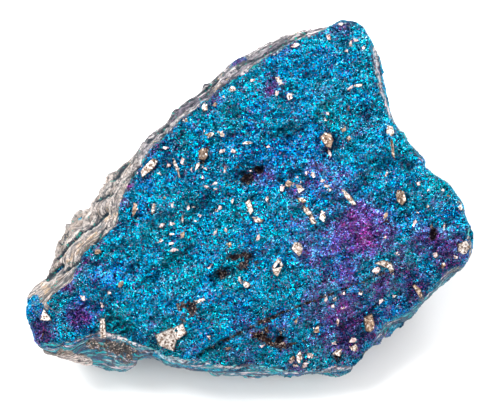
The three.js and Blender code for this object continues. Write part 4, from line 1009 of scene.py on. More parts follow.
def stone_material(sizes, colours, granules, bedding):
    """The whole stone: tarnish, host rock, pale ledges and brown pits."""
    material, nodes, shader, place = new_material("tarnished_stone")
    finish = StoneFinish(nodes, place, sizes.granule / MM, granules, bedding)
    small = finish.small
    pale = nodes.attribute("pale")
    pit = nodes.attribute("pit")

    host_share = finish.mask("host", finish.ragged, 0.9, 0.42, 0.56)
    pale_share = nodes.step(nodes.stack(pale, (finish.crumb, 1.8)), 0.40, 0.62)
    strip = nodes.times(nodes.attribute("strip"), 0.85)
    bare_strip = nodes.math("SUBTRACT", strip, host_share, clamp=True)
    pale_share = nodes.math("MAXIMUM", pale_share, bare_strip)
    pit_share = nodes.step(nodes.stack(pit, (finish.ragged, 0.8), (finish.crumb, 2.2)), 0.42, 0.62)
    # Painted shade: the hollows and folds are darkened toward a deep blue, less on the pale crusts.
    shade = nodes.step(nodes.attribute("hollow"), 0.35, 1.0)
    colour = nodes.tints(
        tarnish_colour(finish, colours),
        (rock_colour(finish, colours), host_share),
        (crust_colour(finish, pale), pale_share, 0.95),
        (pit_colour(finish, colours, pit), pit_share, 0.95),
        (HOLLOW_SHADE_BLUE, shade, nodes.mix(pale_share, 0.52, 0.25)))
    nodes.feed(shader.inputs["Base Color"], colour)

    stony = nodes.math("MAXIMUM", host_share, pale_share)
    nodes.feed(shader.inputs["Metallic"], nodes.mix(stony, 1.0, 0.0))
    dull = nodes.math("MAXIMUM", stony, pit_share)
    gloss = nodes.mix(small["Gloss"], 0.22, 0.5)
    matt = nodes.mix(host_share, nodes.mix(pit_share, 0.42, 0.65), 0.72)
    nodes.feed(shader.inputs["Roughness"], nodes.mix(dull, gloss, matt))
    shader.inputs["Specular Tint"].default_value = EDGE_TINT

    granular = nodes.stack(nodes.times(small["Height"], 1.6), (finish.large["Height"], 0.35))
    grit = nodes.times(nodes.noise(place, 0.22, 3.0), 0.16)
    layered = nodes.stack(grit, (finish.layers["Fine"], 0.5))
    add_bump(nodes, shader, nodes.mix(dull, granular, layered), 0.9)
    return material


def plain_material(name, colour, roughness, metallic=1.0):
    """One plain colour: the metallic tarnish of loose-standing grains, or the floor's paint."""
    material = bpy.data.materials.new(name)
    material.use_nodes = True
    shader = material.node_tree.nodes["Principled BSDF"]
    shader.inputs["Base Color"].default_value = rgba(colour)
    shader.inputs["Roughness"].default_value = roughness
    shader.inputs["Metallic"].default_value = metallic
    if metallic:
        shader.inputs["Specular Tint"].default_value = EDGE_TINT
    return material


def crystal_material(name, light, dark, granules):
    """A brassy crystal: mottled from light to dark, with a fine broken surface, painted glints on top
    and painted shade down its sides.
    """
    material, nodes, shader, place = new_material(name)
    small = group_node(nodes, granules, {"Place": place, "Size": 0.24})
    mottle = nodes.step(nodes.noise(place, 0.50, 4.0, 0.7), 0.44, 0.58)
    # Painted shade down the sides, from none at the top to full at the foot.
    wall = nodes.step(nodes.attribute("wall"), 0.03, 0.45)
    # Painted highlight: the lightest granules are painted as glints.
    colour = nodes.tints(
        rgba(light),
        (rgba(dark), mottle),
        (CRYSTAL_GLINT, nodes.step(small["Shade"], 0.74, 0.95), 0.6),
        (CRYSTAL_SPECK, nodes.step(small["Kind"], 0.22, 0.10)),
        (CRYSTAL_WALL_SHADE, wall, 0.85))
    dulled = nodes.step(nodes.attribute("dull"), 0.0, 1.0, 1.0, 0.35)
    nodes.feed(shader.inputs["Base Color"], nodes.blend(1.0, colour, dulled, "MULTIPLY"))
    shader.inputs["Metallic"].default_value = 0.45
    nodes.feed(shader.inputs["Roughness"], nodes.mix(small["Gloss"], 0.28, 0.5))
    add_bump(nodes, shader, small["Height"], 0.6)
    return material


# ------------------------------------------------------------------ mesh helpers

def put_in_scene(name, mesh, material=None):
    """A mesh as an object in the scene, with its one material."""
    piece = bpy.data.objects.new(name, mesh)
    bpy.context.scene.collection.objects.link(piece)
    if material:
        piece.data.materials.clear()
        piece.data.materials.append(material)
    return piece


def finished_mesh(piece, name):
    """The piece's mesh with its modifiers carried out."""
    graph = bpy.context.evaluated_depsgraph_get()
    graph.update()
    mesh = bpy.data.meshes.new_from_object(piece.evaluated_get(graph))
    mesh.name = name
    return mesh


def mesh_from_form(form, name):
    """A mesh of what the form holds."""
    mesh = bpy.data.meshes.new(name)
    form.to_mesh(mesh)
    form.free()
    return mesh


def close_hull(form, verts):
    """Wraps some loose points of a form in their hull."""
    hull = bmesh.ops.convex_hull(form, input=verts)
    inside = [part for part in hull["geom_interior"] if isinstance(part, bmesh.types.BMVert)]
    bmesh.ops.delete(form, geom=inside, context="VERTS")
    skin = [part for part in hull["geom"] if isinstance(part, bmesh.types.BMFace)]
    bmesh.ops.recalc_face_normals(form, faces=skin)


def read_values(parts, name, width, kind=np.float32):
    """One property of every point, edge, face or corner of a mesh."""
    values = np.empty(len(parts) * width, dtype=kind)
    parts.foreach_get(name, values)
    return values.reshape(-1, width) if width > 1 else values


def read_points(mesh):
    return read_values(mesh.vertices, "co", 3).astype(float)


def read_normals(mesh):
    return read_values(mesh.vertex_normals, "vector", 3).astype(float)


def read_edges(mesh):
    return read_values(mesh.edges, "vertices", 2, np.int32)


def read_mask(mesh, name):
    return read_values(mesh.attributes[name].data, "value", 1)


def write_mask(mesh, name, values):
    mask = mesh.attributes.new(name, "FLOAT", "POINT")
    mask.data.foreach_set("value", np.clip(values, 0.0, 1.0).astype(np.float32))


def neighbour_average(edges, count, values, rounds):
    """Values spread evenly over the mesh by averaging each point with its neighbours."""
    links = np.bincount(edges.ravel(), minlength=count).astype(float)
    for _ in range(rounds):
        total = np.zeros_like(values)
        for axis in range(values.shape[1]):
            total[:, axis] = (
                np.bincount(edges[:, 0], values[edges[:, 1], axis], count)
                + np.bincount(edges[:, 1], values[edges[:, 0], axis], count))
        values = 0.4 * values + 0.6 * total / links[:, None]
    return values


# ------------------------------------------------------------------ the stone's shape and masks

def remeshed_stone(step):
    """A fine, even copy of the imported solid."""
    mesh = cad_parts[NODE].data.copy()
    form = bmesh.new()
    form.from_mesh(mesh)
    bmesh.ops.remove_doubles(form, verts=form.verts, dist=0.002 * MM)
    form.to_mesh(mesh)
    form.free()
    piece = put_in_scene("stone_form", mesh)
    remesh = piece.modifiers.new("even", "REMESH")
    remesh.mode = "VOXEL"
    remesh.voxel_size = step
    soften = piece.modifiers.new("soften", "SMOOTH")
    soften.factor = 0.5
    soften.iterations = 2
    fine = finished_mesh(piece, "tarnished_stone")
    bpy.data.objects.remove(piece)
    return fine


class Surface:
    """Where each point of the stone's mesh lies in the face's frame, and how it faces."""

    def __init__(self, mesh):
        self.mesh = mesh
        self.points = read_points(mesh)
        self.u, self.v, self.n = face_coordinates(self.points)
        self.facing = read_normals(mesh) @ np.array(FACE_NORMAL)
        self.side = smooth_step(self.facing, 0.62, 0.35)

    def past(self, edge):
        """How far outside an edge line each point lies, and which points are abreast of it."""
        return outside_edge(self.u, self.v, edge)

    def near(self, lines):
        """How near each point is to the nearest of some lines."""
        return near_lines(self.u, self.v, lines)

    def within(self, depth):
        """A rise from 0 to 1 over a range of depths."""
        return smooth_step(self.n, *depth)

    def faced(self, low, high):
        """A rise from 0 to 1 with how squarely the surface faces the way of the broad face."""
        return smooth_step(self.facing, low, high)

    def drift(self, settings):
        return drift(self.points, *settings)

    def write(self, name, values):
        write_mask(self.mesh, name, values)


def paint_host(surface, ledge):
    """Where the host rock is, with its colours and grooves."""
    outside, abreast = surface.past(HOST_EDGE)
    host = np.where(abreast, smooth_step(outside, -0.25, 0.25), 0.0)
    leftward = smooth_step(0.75 * surface.v - surface.u, -6.0, 8.0)
    patchy = 0.10 + 0.78 * leftward + surface.drift(HOST_DRIFT)
    low = surface.within(HOST_DEPTH) * surface.side
    host = np.maximum(host, low * patchy * (1.0 - 0.5 * ledge))
    host = np.maximum(host, surface.near(HOST_PATCHES) * surface.within(SIDE_DEPTH))
    surface.write("host", host - surface.near(HOST_GAPS) * surface.faced(0.0, 0.2))
    surface.write("warm", smooth_step(-surface.u, 15.0, 23.0) * surface.within(LOW_DEPTH))
    for name, lines in (("tan", HOST_TAN), ("cream", HOST_CREAM), ("dusk", HOST_DUSK)):
        surface.write(name, surface.near(lines) * surface.within(SIDE_DEPTH))
    groove = surface.near(HOST_GROOVES) * surface.within(GROOVE_DEPTH)
    surface.write("groove", groove * surface.faced(-0.05, 0.15))


def paint_pale(surface, ledge, undercut):
    """The pale crusts along the ledge, the undercut and the host rock, with painted highlights along
    the rims and edges.
    """
    outside, abreast = surface.past(LEDGE)
    pale = np.where(abreast, 0.75 * np.exp(-(outside / 0.45) ** 2), 0.0)
    pale = np.maximum(pale, (0.48 + surface.drift(LEDGE_DRIFT)) * ledge)
    pale = np.maximum(pale, 0.62 * surface.near(PALE_CUTS) * undercut)
    pale = pale * (1.0 - surface.near(HOST_PATCHES))
    # Pale edges, partly painted highlight, and the painted highlight along the rims.
    pale = np.maximum(pale, surface.near(PALE_EDGES) * surface.within(EDGE_DEPTH))
    pale = np.maximum(pale, surface.near(PAINTED_RIM_HIGHLIGHTS) * surface.within(RIM_DEPTH))
    outside, abreast = surface.past(HOST_EDGE)
    host_line = 0.58 * np.exp(-((outside + 0.1) / 0.24) ** 2)
    surface.write("pale", np.maximum(pale, np.where(abreast, host_line, 0.0)))


def paint_tarnish(surface, strip):
    """The patches of each colour of tarnish."""
    for name, patches, slow_change in TARNISH_MASKS:
        total = near_spots(surface.u, surface.v, patches)
        if slow_change:
            total = total + surface.drift(slow_change)
        # Painted shade on the ledge along the bottom and the undercut on the lower right.
        if name == "dim":
            total = np.maximum(total, 0.60 * strip)
        if name == "magenta":
            total = np.maximum(total, surface.near(ROSE_LINES))
        surface.write(name, total)


def paint_pits(surface):
    """How brown and how deep the pits and cracks are."""
    pit = np.zeros_like(surface.u)
    sunk = np.zeros_like(surface.u)
    for middle_u, middle_v, along, across, turn, strength in PITS:
        du, dv = turned_by(-turn, surface.u - middle_u, surface.v - middle_v)
        reach = np.exp(-((du / along) ** 2 + (dv / across) ** 2))
        pit = np.maximum(pit, strength * reach)
        sunk = np.maximum(sunk, reach if strength == 1.0 else 0.35 * strength * reach)
    cracks = surface.near(CRACKS)
    surface.write("pit", np.maximum(pit, cracks) * surface.within(PIT_DEPTH))
    surface.write("sunk", np.maximum(sunk, 0.5 * cracks) * surface.within(PIT_DEPTH))


def paint_masks(mesh):
    """Masks that say where each kind of surface lies."""
    surface = Surface(mesh)
    flow = mesh.attributes.new("flow", "FLOAT_VECTOR", "POINT")
    rim = rim_flow(surface.u, surface.v, surface.n)
    flow.data.foreach_set("vector", rim.astype(np.float32).ravel())
    outside, abreast = surface.past(LEDGE)
    ledge = smooth_step(outside, 0.3, 0.8) * surface.within(LEDGE_DEPTH)
    ledge = np.where(abreast, ledge, 0.0)
    outside, abreast = surface.past(UNDERCUT)
    undercut = smooth_step(outside, 0.0, 0.4) * surface.within(SIDE_DEPTH)
    undercut = np.where(abreast, undercut, 0.0)
    strip = np.maximum(ledge, undercut)
    surface.write("strip", strip)
    paint_host(surface, ledge)
    paint_pale(surface, ledge, undercut)
    paint_tarnish(surface, strip)
    paint_pits(surface)
    swell = BULGE_SCALE * bulges(surface.u, surface.v) * surface.within(LOW_DEPTH)
    surface.write("bulge", BULGE_ZERO + swell)
    surface.write("fold", surface.near(FOLDS) * surface.faced(0.3, 0.6))
    surface.write("side", surface.side)
    surface.write("lift", smooth_step(surface.points[:, 2] / MM, 0.15, 1.2))
    surface.write("calm", surface.within(CALM_DEPTH))
    surface.write("rim", surface.faced(0.85, 0.4) * surface.faced(-0.7, -0.2))


def face_relief(nodes, place, lump):
    """The broad face: lumps and facets drawn out along the grain, with creases between them."""
    level = nodes.turned(place, (1.0, 0.0, 0.0), -FACE_TILT)
    along = nodes.turned(level, (0.0, 0.0, 1.0), -GRAIN_TURN)
    drawn = nodes.vector("MULTIPLY", along, (0.45, 1.0, 1.0))
    return nodes.stack(
        nodes.times(nodes.minus(nodes.noise(drawn, 2.6, 3.0), 0.5), 1.1),
        (facets(nodes, drawn, lump), 0.55),
        (facets(nodes, place, 0.5 * lump), 0.5),
        (nodes.step(nodes.crease(drawn, 1.1, 0.5), 0.07, 0.01), -0.14))


def rock_relief(nodes, place, flow):
    """The broken sides, with steps along the layers, and the plates of the host rock."""
    broken = facets(nodes, place, 6.5)
    blocks = facets(nodes, place, 2.6)
    squeezed = nodes.vector("MULTIPLY", flow, (0.17, 0.17, 1.0))
    strata = nodes.step(nodes.noise(squeezed, 3.6, 2.0, 0.5, 0.5), 0.45, 0.55)
    side = nodes.stack(
        nodes.times(broken, 0.50),
        (blocks, 0.40),
        (facets(nodes, place, 1.3), 0.25),
        (nodes.minus(nodes.noise(place, 1.6, 4.0, 0.6), 0.5), 0.6),
        (nodes.minus(strata, 0.5), 0.35))

    plate, plate_edge = rock_plates(nodes, flow, PLATE_SIZE)
    crack = nodes.step(plate_edge, 0.22, 0.0, 0.0, -0.6)
    sharp = nodes.plus(nodes.stack(-0.6, (plate, 1.4)), crack)
    streaks = nodes.vector("MULTIPLY", flow, (0.4, 0.4, 1.0))
    thin = nodes.minus(nodes.noise(streaks, 0.8, 3.0, 0.65), 0.5)
    host = nodes.stack(
        nodes.times(sharp, 0.30), (thin, 0.40), (nodes.stack(blocks, (broken, 0.8)), 0.16))

    calm = nodes.mesh_layer("calm")
    side = nodes.times(side, nodes.mix(calm, 1.0, 0.25))
    host = nodes.times(host, nodes.mix(calm, 1.15, 0.8))
    strip = nodes.stack(nodes.times(thin, 0.6), (sharp, 0.25))
    return nodes.mix(nodes.mesh_layer("strip"), side, strip), host


def relief_nodes(sizes):
    """Geometry nodes that give the stone its fine relief, by the masks."""
    tree, nodes, start, end = new_group(
        "Stone relief", "GeometryNodeTree",
        [("Geometry", "NodeSocketGeometry", None)], [("Geometry", "NodeSocketGeometry", None)])
    position = nodes.add("GeometryNodeInputPosition").outputs[0]
    place = nodes.vector("SCALE", position, scale=1.0 / MM)
    face = face_relief(nodes, place, sizes.lump / MM)
    side, host = rock_relief(nodes, place, nodes.mesh_layer("flow", "FLOAT_VECTOR"))
    height = nodes.mix(nodes.mesh_layer("side"), face, side)
    pitted = nodes.minus(nodes.noise(place, 0.9, 3.0), 0.2)
    height = nodes.stack(height, (nodes.times(nodes.mesh_layer("sunk"), pitted), -1.5))
    height = nodes.mix(nodes.mesh_layer("host"), height, host)
    height = nodes.stack(
        height, (nodes.mesh_layer("fold"), -0.40), (nodes.mesh_layer("groove"), -0.60),
        (nodes.mesh_layer("rim"), 0.30))
    swell = nodes.minus(nodes.mesh_layer("bulge"), BULGE_ZERO)
    height = nodes.plus(height, nodes.math("DIVIDE", swell, BULGE_SCALE))
    height = nodes.times(height, nodes.mesh_layer("lift"))
    height = nodes.times(height, sizes.relief * MM)
    normal = nodes.add("GeometryNodeInputNormal").outputs[0]
    moved = nodes.add("GeometryNodeSetPosition", {
        "Geometry": start["Geometry"], "Offset": nodes.vector("SCALE", normal, scale=height)})
    nodes.feed(end["Geometry"], moved.outputs[0])
    return tree


def keep_in_box(mesh):
    """Draws any point that the relief pushed past the solid's box back to it."""
    low, high = (np.array(corner) for corner in SOLID_BOX)
    points = np.clip(read_points(mesh), low, high)
    mesh.vertices.foreach_set("co", points.astype(np.float32).ravel())
    mesh.update()


def paint_hollows(mesh):
    """A mask of how far each point lies below the surface round it, raised along the folds; it says
    where painted shade darkens the hollows.
    """
    points = read_points(mesh)
    edges = read_edges(mesh)
    near = neighbour_average(edges, len(points), points, 6)
    far = neighbour_average(edges, len(points), near, 40)
    trend = neighbour_average(edges, len(points), read_normals(mesh), 30)
    trend /= np.linalg.norm(trend, axis=1)[:, None]
    small = np.einsum("ij,ij->i", near - points, trend) / MM
    large = np.einsum("ij,ij->i", far - near, trend) / MM
    hollow = 1.6 * small / 0.12 * 0.35 + large / 0.35
    write_mask(mesh, "hollow", 0.35 + 0.30 * hollow + 0.45 * read_mask(mesh, "fold"))


# Flat views of the stone for a bake: the way each looks out, its axes across and up, its scale.
# Each row of BAKE_COLUMNS is a stack of them.
BAKE_VIEWS = {
    "face": (FACE_NORMAL, (1, 0, 0), FACE_NORMAL.cross((1, 0, 0)), 1.0),
    "back": ((0, 1, 0), (-1, 0, 0), (0, 0, 1), 1.0),
    "front": ((0, -1, 0), (1, 0, 0), (0, 0, 1), 1.0),
    "left": ((-1, 0, 0), (0, 0, 1), (0, 1, 0), 1.0),
    "right": ((1, 0, 0), (0, 0, 1), (0, -1, 0), 1.0),
    "base": ((0, 0, -1), (1, 0, 0), (0, -1, 0), 0.25),
}
BAKE_COLUMNS = (("face", "back", "front"), ("left", "right", "base"))
BAKE_GAP = 0.8


def add_bake_map(mesh):
    """A UV map of flat views of the stone set side by side, on which its materials can be baked."""
    points = read_points(mesh)
    normals = neighbour_average(read_edges(mesh), len(points), read_normals(mesh), 25)
    corners = read_values(mesh.loops, "vertex_index", 1, np.int32)
    counts = read_values(mesh.polygons, "loop_total", 1, np.int32)
    face = np.repeat(np.arange(len(counts)), counts)
    facing = np.stack([np.bincount(face, normals[corners, axis]) for axis in range(3)], axis=1)
    outward = np.array([tuple(view[0]) for view in BAKE_VIEWS.values()])
    chosen = (facing @ outward.T).argmax(axis=1)[face]
    places = np.zeros((len(corners), 2))
    left = 0.0
    tops = []
    for column in BAKE_COLUMNS:
        top, width = 0.0, 0.0
        for name in column:
            _, across, up, scale = BAKE_VIEWS[name]
            inside = chosen == list(BAKE_VIEWS).index(name)
            flat = points[corners[inside]] / MM @ np.array((tuple(across), tuple(up))).T * scale
            flat -= flat.min(axis=0)
            places[inside] = flat + (left + BAKE_GAP, top + BAKE_GAP)
            top += flat[:, 1].max() + BAKE_GAP
            width = max(width, flat[:, 0].max())
        left += width + BAKE_GAP
        tops.append(top)
    sheet = max([left] + tops) + BAKE_GAP
    layer = mesh.uv_layers.new(name="OFBake")
    layer.uv.foreach_set("vector", (places / sheet).astype(np.float32).ravel())


# ------------------------------------------------------------------ grains

SHARD_STRETCH = np.array((2.0, 0.62, 0.75))
SHARD_KINDS = 6
SHARD_POINTS = 6
SHARD_SEED = 11
BRASS_SEED = 31
BRASS_SPOTS = 240
# The smallest and the largest grains, as shares of the shard size, and how far they tip over.
SHARD_RANGE = (0.6, 1.3)
SHARD_TIP = 0.6
# The clumps that the grains grow in: size in mm, place in the noise, strength.
CLUMP_DRIFT = (1.1, 5.0, 1.0)

# The grains: name, the mask of where they grow, their share of the grain density, colour or the
# name of the colour that the user may change, and roughness.
GRAINS = (
    ("cyan_grains", "grow_blue", 0.30, "cyan", 0.2),
    ("teal_grains", "grow_blue", 0.16, (0.0, 0.35, 0.48), 0.24),
    ("sea_grains", "grow_sea", 0.40, (0.0, 0.38, 0.37), 0.3),
    ("azure_grains", "grow_azure", 0.34, (0.0, 0.20, 0.70), 0.24),
    ("navy_grains", "grow_dark", 0.31, (0.003, 0.004, 0.055), 0.4),
    ("deep_grains", "grow_deep", 0.32, (0.0, 0.08, 0.23), 0.3),
    ("violet_grains", "grow_violet", 0.50, (0.29, 0.11, 0.56), 0.3),
    ("rose_grains", "grow_rose", 0.30, (0.58, 0.04, 0.38), 0.3),
    ("bright_grains", "grow_blue", 0.13, "sparkle", 0.2),
    ("brassy_grains", "grow_brass", 1.0, (0.62, 0.45, 0.27), 0.35),
)


def shard_shapes():
    """Small closed crystals, 1 across: each the hull of a few points round a ball."""
    random = np.random.default_rng(SHARD_SEED)
    shapes = []
    for index in range(SHARD_KINDS):
        form = bmesh.new()
        for _ in range(SHARD_POINTS):
            spot = random.normal(size=3)
            spot = spot / np.linalg.norm(spot) * random.uniform(0.42, 0.55) * SHARD_STRETCH
            form.verts.new(spot)
        close_hull(form, list(form.verts))
        shapes.append(mesh_from_form(form, f"shard_{index}"))
    return shapes


def shard_collection(shapes):
    """A hidden collection of shard objects for the scatter to pick from."""
    group = bpy.data.collections.new("shards")
    for shape in shapes:
        group.objects.link(bpy.data.objects.new(shape.name, shape))
    return group


def scatter_nodes(shards, mask, density, low, high, seed):
    """Geometry nodes that stand shards on the stone by a mask and make them real mesh."""
    tree, nodes, start, end = new_group(
        "Scatter " + mask, "GeometryNodeTree",
        [("Geometry", "NodeSocketGeometry", None)], [("Geometry", "NodeSocketGeometry", None)])
    points = nodes.add("GeometryNodeDistributePointsOnFaces", {
        "Mesh": start["Geometry"], "Density": nodes.times(nodes.mesh_layer(mask), density / MM ** 2),
        "Seed": seed})
    shapes = nodes.add("GeometryNodeCollectionInfo", {
        "Collection": shards, "Separate Children": True, "Reset Children": True})
    wobble = nodes.add("FunctionNodeRandomValue", {
        0: (-SHARD_TIP, -SHARD_TIP, -math.pi), 1: (SHARD_TIP, SHARD_TIP, math.pi), "Seed": seed + 1},
        data_type="FLOAT_VECTOR").outputs[0]
    turned = nodes.add("FunctionNodeRotateEuler", {
        "Rotation": points.outputs["Rotation"], "Rotate By": wobble}, space="LOCAL").outputs[0]
    size = nodes.add("FunctionNodeRandomValue", {2: low, 3: high, "Seed": seed + 2},
                     data_type="FLOAT").outputs[1]
    placed = nodes.add("GeometryNodeInstanceOnPoints", {
        "Points": points.outputs[0], "Instance": shapes.outputs[0], "Pick Instance": True,
        "Rotation": turned, "Scale": size})
    real = nodes.add("GeometryNodeRealizeInstances", {"Geometry": placed.outputs[0]})
    nodes.feed(end["Geometry"], real.outputs[0])
    return tree


def scatter(stone, name, tree, material):
    """Shards stood on the stone where a mask allows, as one piece."""
    helper = put_in_scene("scatter_helper", stone.data.copy())
    helper.modifiers.new("scatter", "NODES").node_group = tree
    mesh = finished_mesh(helper, name)
    bpy.data.objects.remove(helper)
    for attribute in [a.name for a in mesh.attributes if not a.is_internal and not a.is_required]:
        mesh.attributes.remove(mesh.attributes[attribute])
    keep_in_box(mesh)
    return put_in_scene(name, mesh, material)


def brass_places(points):
    """How near each point is to one of a few seeded spots of brass."""
    random = np.random.default_rng(BRASS_SEED)
    spots = points[random.integers(len(points), size=BRASS_SPOTS)]
    brass = np.zeros(len(points))
    for spot in spots:
        reach = np.linalg.norm(points - spot, axis=1) / random.uniform(0.3, 0.9)
        brass = np.maximum(brass, np.exp(-reach ** 2))
    return brass


def paint_growth(mesh):
    """Masks of where each colour of grain grows, and their names."""
    host, pit, pale, strip, lift, hollow, cyan = (
        read_mask(mesh, name).astype(float)
        for name in ("host", "pit", "pale", "strip", "lift", "hollow", "cyan"))
    violet, rose, azure, sea, dim = (
        smooth_step(read_mask(mesh, name).astype(float), low, high)
        for name, low, high in (
            ("violet", 0.12, 0.80), ("magenta", 0.1, 0.9), ("azure", -0.1, 0.7),
            ("sea", 0.15, 0.9), ("dim", 0.05, 0.95)))
    surface = Surface(mesh)
    bare = (1.0 - smooth_step(host, 0.3, 0.5)) * (1.0 - smooth_step(pit, 0.2, 0.5))
    bare = bare * (1.0 - 0.8 * smooth_step(pale, 0.3, 0.6)) * lift
    bare = bare * (1.0 - 0.75 * strip)
    bare = bare * (1.0 - near_crystals(surface.u, surface.v) * surface.within(SIDE_DEPTH))
    # Fewer bright grains grow in the hollows, as painted shade.
    bright = bare * (1.0 - 0.6 * smooth_step(hollow, 0.45, 0.85))
    clump = smooth_step(surface.drift(CLUMP_DRIFT), -0.22, 0.22)
    # Where the tarnish is painted dull and shaded, fewer lively grains grow and more dark and deep
    # ones.
    lively = bright * (1.0 - 0.85 * dim) * (0.35 + 1.0 * clump)
    blue = lively * (1.0 - 0.80 * violet) * (0.55 + 0.75 * cyan)
    on_side = surface.faced(0.7, 0.3)
    masks = {
        "grow_blue": blue * (1.0 - 0.65 * azure) * (1.0 - 0.4 * sea),
        "grow_azure": lively * (1.0 - 0.5 * violet) * (0.12 + 0.88 * azure),
        "grow_sea": blue * (0.10 + 0.90 * sea),
        "grow_dark": bare * (0.30 + 0.45 * dim + 0.45 * (1.0 - clump)),
        "grow_deep": bare * (0.08 + 0.92 * dim),
        "grow_violet": lively * (0.02 + 0.98 * violet),
        "grow_rose": lively * (0.03 + 0.40 * violet + 1.30 * rose ** 2),
        "grow_brass": brass_places(surface.points / MM) * lift * (0.05 + 0.95 * on_side),
    }
    for name, values in masks.items():
        write_mask(mesh, name, values)
    return list(masks)


# ------------------------------------------------------------------ crystals

CRYSTAL_SEED = 7
# A ray down to the face starts this high over its plane, in mm.
RAY_HEIGHT = 20.0
# The corners of a crystal may lie this far below its middle, in mm. Others are drawn in.
CORNER_DROP = 0.9
CORNER_TRIES = 6
CORNER_DRAW = 0.75
# The top of a crystal lies this share of the way from the mean to the highest ground under it,
# and stands out by this much, and more by this share of its breadth.
TOP_SHARE = 0.7
TOP_LIFT = 0.06
TOP_SWELL = 0.05
# Its foot is sunk and flared by this much, and its root lies below the lowest ground, drawn in.
FOOT_SINK = 0.10
FOOT_FLARE = 1.06
ROOT_SINK = 0.35
ROOT_DRAW = 0.9
# Pale crystals shorter than this are pinkish, in mm.
BLUSH_LENGTH = 1.25
# Outlined crystals paler than the first of these are cream. Others are brassy, and the further
# they are below the second, the duller.
CREAM_FROM = 0.4
DULL_BELOW = 0.3
# The kinds of crystal, each with the colour that the user may change and its darker mottling.
CRYSTAL_KINDS = {
    "cream_crystals": ("cream", (0.22, 0.135, 0.09)),
    "blush_crystals": ("blush", (0.50, 0.32, 0.31)),
    "brass_crystals": ("brass", (0.12, 0.055, 0.03)),
}


def ground_height(ground, u, v):
    """How far the surface stands out of the face's plane at (u, v), or None off the stone."""
    hit, _, _, depth = ground.ray_cast(face_point(u, v, RAY_HEIGHT), -FACE_NORMAL)
    return None if hit is None else RAY_HEIGHT - depth / MM


def pick_kind(random, paleness, length):
    """Small pale crystals are pinkish, larger ones cream, and the rest brassy."""
    if random.uniform(0, 1) > paleness:
        return "brass_crystals"
    return "blush_crystals" if length < BLUSH_LENGTH else "cream_crystals"


def ragged_outline(random, length, width, turn):
    """Corners of a long crystal with a few uneven sides."""
    sides = int(random.integers(4, 6)) if length > 0.9 else int(random.integers(3, 5))
    start = random.uniform(0, 2 * math.pi)
    outline = []
    for index in range(sides):
        angle = start + 2 * math.pi * (index + random.uniform(-0.30, 0.30)) / sides
        reach = 0.5 * random.uniform(0.78, 1.34)
        outline.append(turned_by(
            turn, reach * length * math.cos(angle), reach * width * math.sin(angle)))
    return outline


def corners_on_ground(ground, u, v, outline, middle):
    """The corners of a crystal with the height of the ground there, drawn in off the edges."""
    ring = []
    for du, dv in outline:
        for _ in range(CORNER_TRIES):
            height = ground_height(ground, u + du, v + dv)
            if height is not None and middle - height < CORNER_DROP:
                ring.append((du, dv, height))
                break
            du *= CORNER_DRAW
            dv *= CORNER_DRAW
    return ring


def add_plate(form, ground, random, u, v, outline, dull=0.0, lift=0.0):
    """One flat-topped crystal with straight sides, sunk in the face."""
    middle = ground_height(ground, u, v)
    if middle is None:
        return
    ring = corners_on_ground(ground, u, v, outline, middle)
    if len(ring) < 3:
        return
    inner = [ground_height(ground, u + 0.5 * du, v + 0.5 * dv) for du, dv, _ in ring]
    heights = np.array([height for _, _, height in ring] + inner + [middle])
    breadth = math.sqrt(sum(math.hypot(du, dv) ** 2 for du, dv, _ in ring) / len(ring))
    level = heights.mean() + TOP_SHARE * (heights.max() - heights.mean())
    level = level + TOP_LIFT + TOP_SWELL * breadth + lift
    tip = random.uniform(-0.16, 0.16, size=2)
    inward = random.uniform(0.86, 0.95)
    wall = form.verts.layers.float["wall"]
    dullness = form.verts.layers.float["dull"]
    verts = []
    for du, dv, height in ring:
        top = level + (tip[0] * du + tip[1] * dv + random.uniform(-0.04, 0.04))
        foot = height - FOOT_SINK
        root = heights.min() - ROOT_SINK
        # Painted shade: the top corners get none, the foot and root get it in full.
        for share, depth, shade in (
                (inward, top, 0.0), (FOOT_FLARE, foot, 1.0), (ROOT_DRAW, root, 1.0)):
            vert = form.verts.new(face_point(u + share * du, v + share * dv, depth))
            vert[wall] = shade
            vert[dullness] = dull
            verts.append(vert)
    close_hull(form, verts)


def grow_outlined(forms, ground, random):
    """The biggest crystals, each by its own outline."""
    for paleness, corners in OUTLINED_CRYSTALS:
        middle = np.array(corners).mean(axis=0)
        outline = [CRYSTAL_SPREAD * (np.array(corner) - middle) for corner in corners]
        pale = paleness > CREAM_FROM
        dull = 0.8 * (1.0 - paleness) if pale else 1.0 - paleness / DULL_BELOW
        add_plate(forms["cream_crystals" if pale else "brass_crystals"], ground, random,
                  middle[0], middle[1], outline, dull, BIG_CRYSTAL_LIFT)


def grow_listed(forms, ground, random):
    """The other crystals, each with a few small ones round it."""
    for u, v, length, width, turn, paleness in CRYSTALS:
        kind = pick_kind(random, paleness + 0.15, length)
        outline = ragged_outline(random, CRYSTAL_SPREAD * length, CRYSTAL_SPREAD * width, turn)
        add_plate(forms[kind], ground, random, u, v, outline)
        for _ in range(int(1.0 + 1.5 * length)):
            angle = random.uniform(0, 2 * math.pi)
            reach = random.uniform(0.40, 0.65)
            du, dv = turned_by(
                turn, reach * length * math.cos(angle), reach * width * math.sin(angle))
            size = random.uniform(0.22, 0.42) * (0.6 + 0.3 * width)
            kind = pick_kind(random, paleness - 0.1, size)
            outline = ragged_outline(random, 1.3 * size, 0.8 * size, random.uniform(0, 180))
            add_plate(forms[kind], ground, random, u + du, v + dv, outline)


# ------------------------------------------------------------------ stage

CAMERA_REACH = 20.0
# The lamps: name, place in metres, size and power.
LAMPS = (
    ("key", (-0.22, 0.10, 0.42), 0.22, 3.2), ("fill", (0.34, -0.22, 0.30), 0.30, 0.9),
    ("back", (0.10, 0.42, 0.26), 0.24, 1.2),
)
